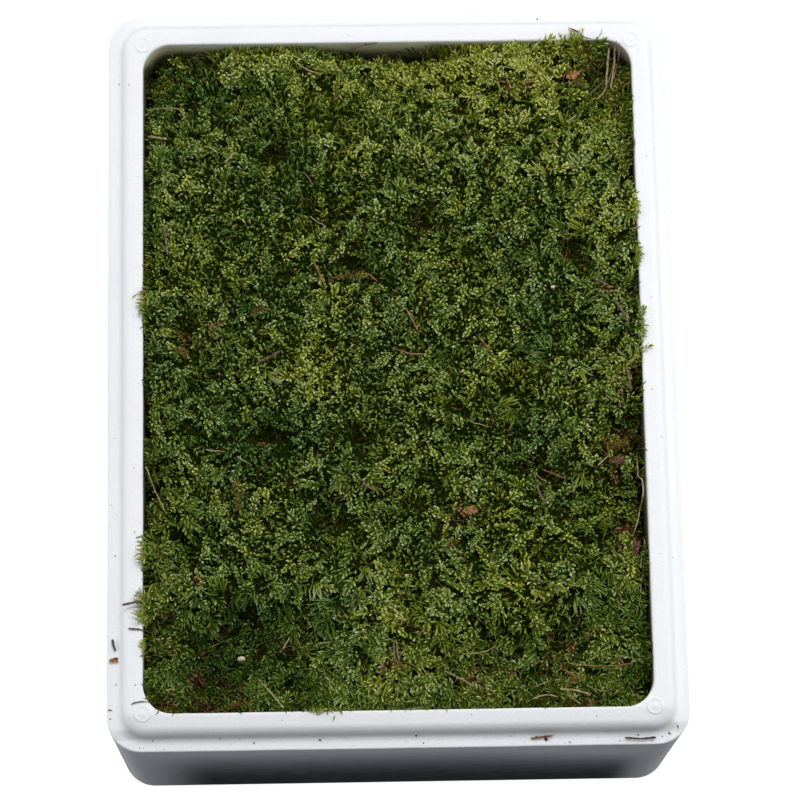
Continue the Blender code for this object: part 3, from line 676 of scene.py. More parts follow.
def strands(foot: Array, ahead: Array, above: Array, length: Array, width: Array,
            bend: Array, tones: Array, hue: Array, rings: Sequence = SHORT_RINGS) -> Shape:
    """Plump curved strands with closed faces: a foot, rings of three corners, a blunt tip.

    The middle line is foot + share * length * ahead + length * hump(share) * (bend 0 across + bend 1 above).

    Args:
        foot: Where each strand starts.
        ahead: Where it grows to.
        above: Where its upper side faces.
        length: Its length.
        width: Its width; it is three quarters as thick.
        bend: Its bend to the side and upwards, as shares of the length.
        tones: Map value at the foot, at 0.32 and 0.80 of the length and at the tip; low at the foot as
            painted shade.
        hue: Map value across the colours.
        rings: Share of the length, hump and girth as a share of the width.
    Returns:
        The strands.
    """
    across = unit(np.cross(above, ahead))
    above = np.cross(ahead, across)
    bow = across * bend[:, :1] + above * bend[:, 1:]
    parts, mapped = [foot[:, None]], [tones[:, :1]]
    for share, hump, girth in rings:
        centre = foot + length[:, None] * (share * ahead + hump * bow)
        radius = (girth * width)[:, None]
        low = centre - 0.5 * radius * above
        side = 0.95 * radius * across
        parts.append(np.stack([centre + radius * above, low - side, low + side], axis=1))
        weights = [np.interp(share, (0, 0.32, 0.80, 1), knot) for knot in np.eye(4)]
        # Painted light: each ring's upper corner is a little lighter and its lower corners a little darker
        mapped.append(np.repeat((tones @ weights)[:, None], 3, axis=1) + [0.03, -0.03, -0.03])
    parts.append((foot + length[:, None] * (ahead + 0.30 * bow))[:, None])
    mapped.append(tones[:, 3:])
    vertices, tone = np.concatenate(parts, axis=1), np.concatenate(mapped, axis=1)
    k = np.arange(3)
    n = (k + 1) % 3
    last = 3 * len(rings) + 1
    faces = [pack(np.zeros(3, int), 1 + n, 1 + k)]
    for start in range(1, last - 3, 3):
        faces.append(pack(start + k, start + n, start + 3 + n))
        faces.append(pack(start + k, start + 3 + n, start + 3 + k))
    faces.append(pack(last - 3 + k, last - 3 + n, np.full(3, last)))
    spread = np.array([0.0] + [0.0, 0.02, -0.02] * len(rings) + [0.0])
    # Random tone at each vertex, whose pale ones make painted glints
    flecks_and_glints = np.random.default_rng(len(foot)).normal(0, 0.085, tone.shape)
    marks = map_marks(tone + flecks_and_glints, hue[:, None] + spread).reshape(-1, 2)
    return Shape(vertices.reshape(-1, 3), copied([np.concatenate(faces)], len(foot), last + 1), marks)


# Sharp angle in degrees and map of the leafy pieces
LEAFY = (100.0, "OFBake")


def add_piece(name: str, shape: Shape, material: Material, slot: Slot, stands_for: Sequence[str] = (),
              sharp_from: float = 50.0, mark_map: str = "Along") -> bpy.types.Object:
    """Makes an object from a shape and ties it to the body.

    Args:
        name: The piece's name.
        shape: Its shape.
        material: Its finish.
        slot: Not used.
        stands_for: CAD nodes that it replaces.
        sharp_from: Least turn of a sharp edge in degrees.
        mark_map: The UV map of its marks.
    Returns:
        The object.
    """
    mesh = bpy.data.meshes.new(name)
    corners = np.concatenate([group.reshape(-1) for group in shape.faces])
    sides = np.concatenate([np.full(len(group), group.shape[1]) for group in shape.faces])
    mesh.vertices.add(len(shape.vertices))
    mesh.vertices.foreach_set("co", shape.vertices.astype(np.float32).ravel())
    mesh.loops.add(len(corners))
    mesh.loops.foreach_set("vertex_index", corners.astype(np.int32))
    mesh.polygons.add(len(sides))
    mesh.polygons.foreach_set("loop_start", (np.cumsum(sides) - sides).astype(np.int32))
    mesh.update(calc_edges=True)
    if shape.marks is not None:
        layer = mesh.uv_layers.new(name=mark_map)
        layer.uv.foreach_set("vector", shape.marks[corners].astype(np.float32).ravel())
    mesh.shade_smooth()
    mesh.set_sharp_from_angle(angle=math.radians(sharp_from))
    mesh.materials.append(material)
    piece = new_object(name, mesh)
    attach(piece, BODY)
    if stands_for:
        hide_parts(*stands_for)
    log.info("%s: %d triangles", name, shape.triangles())
    return piece


def new_object(name: str, data: bpy.types.ID) -> bpy.types.Object:
    """An object of a mesh, camera or light, linked to the scene."""
    thing = bpy.data.objects.new(name, data)
    bpy.context.scene.collection.objects.link(thing)
    return thing


def node_points(name: str) -> Array:
    """The distinct vertices of a CAD node's mesh."""
    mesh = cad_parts[name].data
    points = np.zeros(len(mesh.vertices) * 3, np.float32)
    mesh.vertices.foreach_get("co", points)
    return np.unique(points.reshape(-1, 3).astype(float).round(7), axis=0)


# Foam tray


@dataclass
class FoamTray:
    """The moulded tray: drafted walls, a ledge, a step, a raised collar and a rounded mouth."""

    size_x: float = 300 * MM
    size_y: float = 400 * MM
    height: float = RIM_LEVEL
    collar_rise: float = 7.7 * MM
    opening_inset: float = 18.8 * MM
    ledge_inset: float = 3.0 * MM
    collar_inset: float = 12.2 * MM
    collar_flat: float = 2.0 * MM
    step_lean: float = 1.5 * MM
    mouth_rounding: float = 1.5 * MM
    ledge_rounding: float = 1.0 * MM
    foot_rounding: float = 2.0 * MM
    outer_draft: float = 1.2 * MM
    inner_draft: float = INNER_DRAFT
    floor_thickness: float = 18 * MM
    floor_fillet: float = 6 * MM
    corner_radii: Sequence[float] = (17.7 * MM, 12.5 * MM, 15 * MM, 8 * MM)
    corner_steps: int = 14
    side_step: float = 6 * MM
    waviness: float = 0.13 * MM
    mark_radius: float = 4.5 * MM
    mark_rise: float = 0.34 * MM
    mark_place: Tuple[float, float] = (131.2 * MM, 181.2 * MM)
    mark_sides: int = 36

    @staticmethod
    def rounding(start: Tuple, control: Tuple, end: Tuple, steps: int = 7) -> Array:
        """Quadratic curve (1-t)^2 start + 2t(1-t) control + t^2 end."""
        t = np.linspace(0, 1, steps + 1)[:, None]
        start, control, end = (np.array(point) for point in (start, control, end))
        return (1 - t) ** 2 * start + 2 * t * (1 - t) * control + t * t * end

    def step_curve(self) -> Array:
        """Inset and height along the soft step from the ledge up to the collar."""
        top, ledge = self.height, self.height - self.collar_rise
        middle = ((self.ledge_inset + self.collar_inset) / 2, (top + ledge) / 2)
        return np.concatenate([
            self.rounding((self.ledge_inset, ledge), (middle[0] - self.step_lean, ledge), middle),
            self.rounding(middle, (middle[0] + self.step_lean, top), (self.collar_inset, top))[1:],
        ])

    def top_height(self, x: Array, y: Array) -> Array:
        """Height of the rim's upper side, ledge, step or collar, under each point."""
        curve = self.step_curve()
        inset = rounded_inset(x, y, self.size_x / 2, self.size_y / 2, self.corner_radii[0])
        return np.interp(inset, curve[:, 0], curve[:, 1])

    def profile(self) -> Array:
        """Inset and height of each ring, from the underside up, over the collar and down to the floor."""
        top, low = self.height, self.floor_thickness
        ledge, fillet = top - self.collar_rise, low + self.floor_fillet
        inset, floor = self.opening_inset, self.opening_inset + self.inner_draft
        foot, edge, mouth = self.foot_rounding, self.ledge_rounding, self.mouth_rounding
        draft = self.outer_draft
        levels = np.linspace(foot, ledge - edge, 16)[1:-1]
        depths = np.linspace(top - mouth, fillet, 14)[1:-1]
        return np.concatenate([
            self.rounding((draft + foot, 0), (draft, 0), (draft, foot)),
            pack(np.interp(levels, (foot, ledge - edge), (draft, 0)), levels),
            self.rounding((0, ledge - edge), (0, ledge), (edge, ledge)),
            self.step_curve(),
            [(self.collar_inset + self.collar_flat, top)],
            self.rounding((inset - mouth, top), (inset, top), (inset, top - mouth)),
            pack(np.interp(-depths, (-top, -low), (inset, floor)), depths),
            self.rounding((floor, fillet), (floor, low), (floor + self.floor_fillet, low)),
        ])

    def ring(self, inset: Array) -> Array:
        """Rounded rectangles at these insets, rings by points by 2, with matching points on all rings."""
        floor = self.opening_inset + self.inner_draft + self.floor_fillet
        radius = np.interp(inset, (0, 9.9 * MM, self.opening_inset, floor), self.corner_radii)[:, None]
        half_x = self.size_x / 2 - inset[:, None] - radius
        half_y = self.size_y / 2 - inset[:, None] - radius
        turn = np.linspace(0, np.pi / 2, self.corner_steps + 1)[None]
        arcs, parts = [], []
        for quarter, (sign_x, sign_y) in enumerate(((1, 1), (-1, 1), (-1, -1), (1, -1))):
            angle = turn + quarter * np.pi / 2
            corner_x = sign_x * half_x + radius * np.cos(angle)
            corner_y = sign_y * half_y + radius * np.sin(angle)
            arcs.append(pack(corner_x, corner_y))
        for quarter, arc in enumerate(arcs):
            count = int((self.size_x, self.size_y)[quarter % 2] / self.side_step)
            share = (np.arange(1, count) / count)[None, :, None]
            parts += [arc, arc[:, -1:] * (1 - share) + arcs[(quarter + 1) % 4][:, :1] * share]
        return np.concatenate(parts, axis=1)

    def body(self) -> Shape:
        """The tray as rings joined over the profile, pushed about by a slight waviness."""
        profile = self.profile()
        flat = self.ring(profile[:, 0])
        rings, points, _ = flat.shape
        height = np.repeat(profile[:, 1:2], points, axis=1)
        x, y = flat[..., 0], flat[..., 1]
        push = pack(
            -np.sign(x) * np.abs(smooth_noise(y + height, x, 21 * MM, 3)),
            -np.sign(y) * np.abs(smooth_noise(x + height, y, 23 * MM, 4)),
            -0.8 * (height > 100 * MM) * np.abs(smooth_noise(x, y, 14 * MM, 5)),
        )
        sway = self.waviness * grade(height, 0, 20 * MM)
        vertices = np.concatenate([flat, height[..., None]], axis=-1) + sway[..., None] * push
        ends = [end[:, ::-1] for end in grid_ends(rings, points)]
        return Shape(vertices.reshape(-1, 3), [grid_faces(rings, points, closed=True), *ends])

    def vent_mark(self, x: float, y: float) -> Shape:
        """A round raised mark, turned about its axis: a rolled rim and a dished middle with a low button."""
        profile = np.array([
            (1.00, -2.0), (1.00, 0.35), (0.96, 0.80), (0.90, 1.00), (0.82, 0.95), (0.76, 0.55),
            (0.66, 0.35), (0.45, 0.30), (0.30, 0.35), (0.24, 0.65), (0.14, 0.75), (0.0, 0.78),
        ])
        sides, rings = self.mark_sides, len(profile) - 1
        turn = 2 * np.pi * np.arange(sides) / sides
        out, level = self.mark_radius * profile[:, :1], self.height + self.mark_rise * profile[:, 1:]
        ring_z = np.repeat(level[:-1], sides, axis=1)
        grid = pack(x + out[:-1] * np.cos(turn), y + out[:-1] * np.sin(turn), ring_z)
        vertices = np.concatenate([grid.reshape(-1, 3), [(x, y, level[-1, 0])]])
        under, top = grid_ends(rings, sides)
        top = top[0, ::-1]
        cap = pack(top, np.roll(top, -1), np.full(sides, rings * sides))
        return Shape(vertices, [grid_faces(rings, sides, closed=True), cap, under[:, ::-1]])

    def build(self) -> None:
        """Makes the tray and its vent marks."""
        material = FoamFinish().dress()
        add_piece("tray_shell", self.body(), material, Slot.FOAM, ["foam_tray"])
        place_x, place_y = self.mark_place
        marks = [self.vent_mark(sx * place_x, sy * place_y) for sx in (-1, 1) for sy in (-1, 1)]
        add_piece("tray_vent_marks", Shape.join(marks), material, Slot.FOAM)


# Moss


@dataclass
class MossRelief:
    """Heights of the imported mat, read on a grid and then looked up with bilinear weights."""

    corner: Tuple[float, float]
    heights: Array
    covered: Array
    step: float = 2 * MM

    @classmethod
    def read(cls, node: str) -> "MossRelief":
        """Reads a CAD node from above.

        Args:
            node: The node's name.
        Returns:
            The relief.
        """
        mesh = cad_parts[node].data
        points = [vertex.co.copy() for vertex in mesh.vertices]
        tree = BVHTree.FromPolygons(points, [tuple(face.vertices) for face in mesh.polygons])
        low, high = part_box(node)
        corner = (low.x - cls.step, low.y - cls.step)
        found = np.full([int((high[axis] - low[axis]) / cls.step) + 4 for axis in (0, 1)], np.nan)
        for i, j in np.ndindex(*found.shape):
            start = Vector((corner[0] + i * cls.step, corner[1] + j * cls.step, 1.0))
            hit = tree.ray_cast(start, Vector((0, 0, -1)))[0]
            if hit is not None:
                found[i, j] = hit.z
        return cls(corner, cls.spread(found), (~np.isnan(found)).astype(float))

    @staticmethod
    def spread(found: Array) -> Array:
        """Fills the gaps of a grid with the mean of their filled neighbours, ring by ring."""
        while np.isnan(found).any():
            padded = np.pad(found, 1, constant_values=np.nan)
            near = np.stack([padded[2:, 1:-1], padded[:-2, 1:-1], padded[1:-1, 2:], padded[1:-1, :-2]])
            count = (~np.isnan(near)).sum(axis=0)
            mean = np.nansum(near, axis=0) / np.maximum(count, 1)
            found = np.where(np.isnan(found) & (count > 0), mean, found)
        return found

    def look_up(self, table: Array, x: Array, y: Array) -> Array:
        """Bilinear value of a table at each point."""
        u = np.clip((x - self.corner[0]) / self.step, 0, table.shape[0] - 1.001)
        v = np.clip((y - self.corner[1]) / self.step, 0, table.shape[1] - 1.001)
        return bilinear(table, u, v)

    def height(self, x: Array, y: Array) -> Array:
        """Height of the mat's tips at each point."""
        return self.look_up(self.heights, x, y)

    def cover(self, x: Array, y: Array) -> Array:
        """How far each point is over the mat, from 0 to 1."""
        return self.look_up(self.covered, x, y)


def wall_distance(x: Array, y: Array) -> Array:
    """Distance inwards from the opening's rounded edge."""
    return rounded_inset(x, y, OPENING_HALF_X, OPENING_HALF_Y, OPENING_CORNER)


def hollow_depth(x: Array, y: Array) -> Array:
    """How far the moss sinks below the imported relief: in hollows, brown patches and small random pits."""
    pits = grade(smooth_noise(x, y, 5.0 * MM, 29), 0.34, 0.70) * (1 - nearness(BRIGHT_TUFTS, x, y))
    sunk = 3.5 * nearness(DARK_HOLLOWS, x, y) + 1.6 * nearness(BROWN_PATCHES, x, y) + 0.9 * pits
    return np.minimum(sunk, 5.0) * MM


def wall_gap(x: Array, y: Array) -> Array:
    """How far each point is in a gap between mat and wall, from 0 to 1."""
    return nearness(WALL_GAPS, x, y, 2)


def wall_slope(x: Array, y: Array) -> Tuple[Array, Array]:
    """How fast the distance from the wall grows along x and along y."""
    nudge = 0.01 * MM
    return (wall_distance(x + nudge, y) - wall_distance(x - nudge, y),
            wall_distance(x, y + nudge) - wall_distance(x, y - nudge))


def clear_of_rim(shape: Shape, corners: int, over: bool = False) -> Shape:
    """Moves each strand that would stand in the wall back into the opening, or lifts it over the rim.

    Args:
        shape: Strands with equal numbers of vertices.
        corners: Vertices of one strand.
        over: Lifts them instead of moving them.
    Returns:
        The strands in their new places.
    """
    points = shape.vertices.reshape(-1, corners, 3)
    x, y, z = np.moveaxis(points, -1, 0)
    lack = 0.12 * MM - wall_distance(x, y) + 0.025 * (RIM_LEVEL - z)
    if over:
        lift = np.where(lack > 0, RIM_LEVEL + 0.25 * MM - z, 0).max(axis=1)
        shift = np.maximum(lift, 0)[:, None] * UP
    else:
        lack = np.where(z < RIM_LEVEL + 0.2 * MM, np.maximum(lack, 0), 0)
        strand, worst = np.arange(len(points)), lack.argmax(axis=1)
        slope_x, slope_y = wall_slope(x[strand, worst], y[strand, worst])
        shift = unit(np.column_stack([slope_x, slope_y, 0 * slope_x])) * lack.max(axis=1)[:, None]
    return replace(shape, vertices=(points + shift[:, None]).reshape(-1, 3))


@dataclass
class Clumps:
    """The cushion that each point of the mat belongs to, on a jittered lattice."""

    away: Array
    share: Array
    mark: Array

    @classmethod
    def at(cls, x: Array, y: Array, size: float = 12.5 * MM, seed: int = 28) -> "Clumps":
        """Finds the nearest cushion.

        Args:
            x: The points' x.
            y: The points' y.
            size: Spacing of the cushions.
            seed: Which lattice.
        Returns:
            The level direction away from its middle, the share of its radius, and a number from -1 to 1
            that the whole cushion has.
        """
        table = np.random.default_rng(seed).uniform(-1, 1, (64, 64, 3))
        shifts = pack(*np.meshgrid((-1, 0, 1), (-1, 0, 1), indexing="ij")).reshape(-1, 2)
        points = pack(x, y)[..., None, :]
        cells = np.floor(points / size).astype(int) + shifts
        values = table[cells[..., 0] % 64, cells[..., 1] % 64]
        off = points - (cells + 0.5 + 0.42 * values[..., :2]) * size
        distance = np.hypot(off[..., 0], off[..., 1])
        nearest = distance.argmin(axis=-1)[..., None]
        off, mark = (np.take_along_axis(part, nearest[..., None], -2)[..., 0, :] for part in (off, values))
        reach = np.take_along_axis(distance, nearest, -1)
        return cls(off / reach, np.clip(reach[..., 0] / (0.62 * size), 0, 1), mark[..., 2])


@dataclass
class MossCharacter:
    """How the moss varies over the mat: colour, brightness, lie of the shoots and share of fronds."""

    def hue(self, x: Array, y: Array, clumps: Clumps) -> Array:
        """From 0, deep green, through 0.34, green, to 0.68, yellow-green."""
        base = 0.33 + 0.13 * smooth_noise(x, y, 31 * MM, 21) + 0.11 * smooth_noise(x, y, 9 * MM, 22)
        back = grade(y, 90 * MM, 180 * MM) * grade(x, -60 * MM, 60 * MM)
        base = base + 0.15 * clumps.mark + 0.10 * back
        return base + 0.22 * nearness(YELLOW_PATCHES, x, y) - 0.26 * nearness(DEEP_PATCHES, x, y)

    def brightness(self, x: Array, y: Array, clumps: Clumps) -> Array:
        """Factor on the tone of the leaves, lower as painted shade in hollows and at the edges of cushions.
        """
        base = 1.05 + 0.04 * smooth_noise(x, y, 17 * MM, 23) + 0.03 * smooth_noise(x, y, 6 * MM, 24)
        base = base + 0.06 * clumps.mark - 0.04 * clumps.share ** 3
        base = base + 0.09 * nearness(YELLOW_PATCHES, x, y) - 0.10 * nearness(DEEP_PATCHES, x, y)
        base = base + 0.18 * nearness(BRIGHT_TUFTS, x, y) - 0.10 * nearness(DARK_HOLLOWS, x, y)
        return base * (1 - 0.09 * hollow_depth(x, y) / MM)

    def dome(self, clumps: Clumps) -> Array:
        """Height that a cushion adds: high in its middle and low where it meets the next one."""
        return (0.3 - 1.1 * clumps.share ** 3) * MM

    def deadness(self, x: Array, y: Array) -> Array:
        """Share of dead shoots."""
        return 0.004 + 0.42 * nearness(BROWN_PATCHES, x, y) + 0.04 * grade(wall_distance(x, y), 7 * MM, 0)

    def lie(self, x: Array, y: Array, clumps: Clumps) -> Array:
        """Angle that the shoots lean towards: out of their cushion, and outwards at the four walls."""
        drift = np.pi * (2.2 * smooth_noise(x, y, 34 * MM, 25) + 0.8 * smooth_noise(x, y, 11 * MM, 26))
        left, right = grade(x, -95 * MM, -130 * MM), grade(x, 100 * MM, 130 * MM)
        front, back = grade(y, -70 * MM, -150 * MM), grade(y, 50 * MM, 140 * MM)
        lean_x = clumps.away[..., 0] + 0.45 * np.cos(drift) - 0.9 * left + 0.6 * right
        lean_y = clumps.away[..., 1] + 0.45 * np.sin(drift) - 1.3 * front + 0.9 * back
        return np.arctan2(lean_y, lean_x)

    def frond_share(self, x: Array, y: Array) -> Array:
        """Share of places with a feathery frond: more at the walls, in front and at the back right."""
        rim, front = grade(wall_distance(x, y), 26 * MM, 0), grade(y, -80 * MM, -150 * MM)
        back = grade(y, 60 * MM, 150 * MM) * grade(x, -20 * MM, 70 * MM)
        patchy = 0.5 + 0.5 * smooth_noise(x, y, 19 * MM, 27)
        return np.clip(0.10 + 0.42 * patchy * patchy + 0.40 * rim + 0.42 * front + 0.42 * back, 0, 1)

    def colours(self, x: Array, y: Array, rng: Random) -> Tuple[Array, Array]:
        """Hue and brightness of each shoot.

        Args:
            x: The shoots' x.
            y: The shoots' y.
            rng: Where the variation between neighbours comes from.
        Returns:
            The hue, over 0.8 for a dead shoot, and the brightness.
        """
        clumps = Clumps.at(x, y)
        hue = self.hue(x, y, clumps) + rng.normal(0, 0.08, len(x))
        dead = rng.random(len(x)) < self.deadness(x, y)
        hue = np.where(dead, rng.uniform(0.9, 0.98, len(x)), np.clip(hue, 0.02, 0.72))
        return hue, self.brightness(x, y, clumps) * rng.uniform(0.74, 1.12, len(x))


def walk(x: Array, y: Array, angle: Array, step: Array) -> Tuple[Array, Array]:
    """Lines that start one step from x and y and take a step at each angle."""
    line_x = x[:, None] + np.cumsum(np.cos(angle) * step, axis=1)
    return line_x, y[:, None] + np.cumsum(np.sin(angle) * step, axis=1)


@dataclass
class Growth:
    """Triangles of moss, and the foot of the shoot that each of them belongs to."""

    shape: Shape
    feet: Array

    @classmethod
    def of(cls, strand: Shape, feet: Array, over: bool = False) -> "Growth":
        """Equal strands kept clear of the rim, with a foot for each of them."""
        corners, faces = len(strand.vertices) // len(feet), len(strand.faces[0]) // len(feet)
        return cls(clear_of_rim(strand, corners, over), np.repeat(feet, faces, axis=0))

    @staticmethod
    def join(growths: Sequence["Growth"]) -> "Growth":
        """One growth from several, with all their triangles in one group."""
        whole = Shape.join([growth.shape for growth in growths])
        feet = np.concatenate([growth.feet for growth in growths])
        return Growth(replace(whole, faces=[np.concatenate(whole.faces)]), feet)


@dataclass
class Planting:
    """One kind of strand: the mat that it grows on and how the moss varies there."""

    relief: MossRelief
    moss: MossCharacter

    def lattice(self, spacing: float, inset: float, rng: Random) -> Tuple[Array, Array, Array]:
        """A jittered lattice over the opening.

        Args:
            spacing: Distance between neighbours.
            inset: Least distance from the wall.
            rng: Where the jitter comes from.
        Returns:
            The points' x and y, and which of them are on the mat and clear of the wall.
        """
        columns, rows = int(2 * OPENING_HALF_X / spacing), int(2 * OPENING_HALF_Y / spacing)
        i, j = np.meshgrid(np.arange(columns), np.arange(rows), indexing="ij")
        x = (((i + rng.random(i.shape)) / columns * 2 - 1) * OPENING_HALF_X).ravel()
        y = (((j + rng.random(j.shape)) / rows * 2 - 1) * OPENING_HALF_Y).ravel()
        return x, y, (self.relief.cover(x, y) > COVERED) & (wall_distance(x, y) > inset)

    @staticmethod
    def bends(count: int, side: float, up: Tuple[float, float], rng: Random) -> Array:
        """Bend of each strand to the side, by a normal spread, and upwards within a range."""
        return pack(rng.normal(0, side, count), rng.uniform(*up, count))


@dataclass
class UprightShoots(Planting):
    """Slim curved shoots that point up and out of their cushion."""

    spacing: float = 1.47 * MM
    width: float = 1.26 * MM
    height: Tuple[float, float] = (4.0 * MM, 6.2 * MM)
    lean: Tuple[float, float] = (9.0, 32.0)
    slim_share: float = 0.32
    fringe_density: float = 0.62
    seed: int = 31

    def inner_feet(self, rng: Random) -> Tuple[Array, Array]:
        """Feet on a lattice over the mat, thinner in hollows and where fronds lie."""
        x, y, keep = self.lattice(self.spacing, 1.0 * MM, rng)
        keep &= rng.random(len(x)) > 0.45 * self.moss.frond_share(x, y)
        keep &= rng.random(len(x)) > 0.19 * hollow_depth(x, y) / MM
        return x[keep], y[keep]

    def fringe(self, rng: Random) -> Tuple[Array, Array, Array]:
        """Feet just inside the wall, and the angle outwards, all round the opening and its corners."""
        count = int(4 * OPENING_HALF_X * OPENING_HALF_Y / MM ** 2 * self.fringe_density)
        x = rng.uniform(-OPENING_HALF_X, OPENING_HALF_X, count)
        y = rng.uniform(-OPENING_HALF_Y, OPENING_HALF_Y, count)
        inside = wall_distance(x, y)
        keep = (inside > 1.0 * MM) & (inside < 4.6 * MM) & (rng.random(count) > 1.02 * wall_gap(x, y))
        x, y = x[keep], y[keep]
        slope_x, slope_y = wall_slope(x, y)
        return x, y, np.arctan2(-slope_y, -slope_x)

    def build(self) -> Growth:
        """Grows the shoots.

        Returns:
            The shoots.
        """
        rng = np.random.default_rng(self.seed)
        x, y = self.inner_feet(rng)
        rim_x, rim_y, outward = self.fringe(rng)
        inner = len(x)
        x, y = np.concatenate([x, rim_x]), np.concatenate([y, rim_y])
        count = len(x)
        at_rim = np.arange(count) >= inner
        front, back = grade(y, -90 * MM, -150 * MM), grade(y, 95 * MM, 165 * MM)
        slim = rng.random(count) < self.slim_share + 0.22 * (front + back)
        height = rng.uniform(*self.height, count) * np.where(slim, rng.uniform(1.2, 1.8, count), 1.0)
        height = height * (1 + 0.30 * front + 0.25 * back)
        clumps = Clumps.at(x, y)
        lean = self.lean[0] + self.lean[1] * clumps.share + rng.normal(0, 16, count) + 22 * front + 18 * back
        lean = np.radians(np.clip(np.where(at_rim, rng.uniform(5, 50, count), lean), 2, 78))
        towards = self.moss.lie(x, y, clumps) + rng.normal(0, 0.75, count)
        towards[inner:] = outward + rng.normal(0, 0.5, count - inner)
        axis = flat_angle(towards) * np.sin(lean)[:, None] + np.cos(lean)[:, None] * UP
        dome = self.moss.dome(clumps)
        tip_drop = np.abs(rng.normal(0, 1.5 * MM, count)) - dome + hollow_depth(x, y)
        tip = self.relief.height(x, y) - tip_drop
        rim_tip = (rng.uniform(135.0, 140.6, count) - 6.5 * wall_gap(x, y) - 1.5 * (y > 150 * MM)) * MM
        tip = np.where(at_rim, np.maximum(tip, rim_tip), tip)
        foot = pack(x, y, tip - height * axis[:, 2])
        hue, bright = self.moss.colours(x, y, rng)
        width = self.width * rng.uniform(0.68, 1.20, count) * np.where(slim | at_rim, 0.62, 1.0)
        above = unit(np.cross(np.cross(axis, UP) + 1e-6, axis))
        # Tones darker to the foot and on tips that lie deeper, as painted shade, with a painted glint on
        # about one tip in eight
        tip_tone = 0.852 * bright + rng.normal(0, 0.06, count) + 0.08 * (rng.random(count) < 0.12)
        tip_tone = np.clip(tip_tone, 0.2, 0.94)[:, None] * [[0.21, 0.48, 0.82, 1.0]]
        tip_tone[:, 2:] *= np.clip(1 - tip_drop / (7.5 * MM), 0.54, 1)[:, None]
        bend = self.bends(count, 0.20, (0.02, 0.32), rng)
        return Growth.of(strands(foot, axis, above, height, width, bend, tip_tone, hue), pack(x, y))


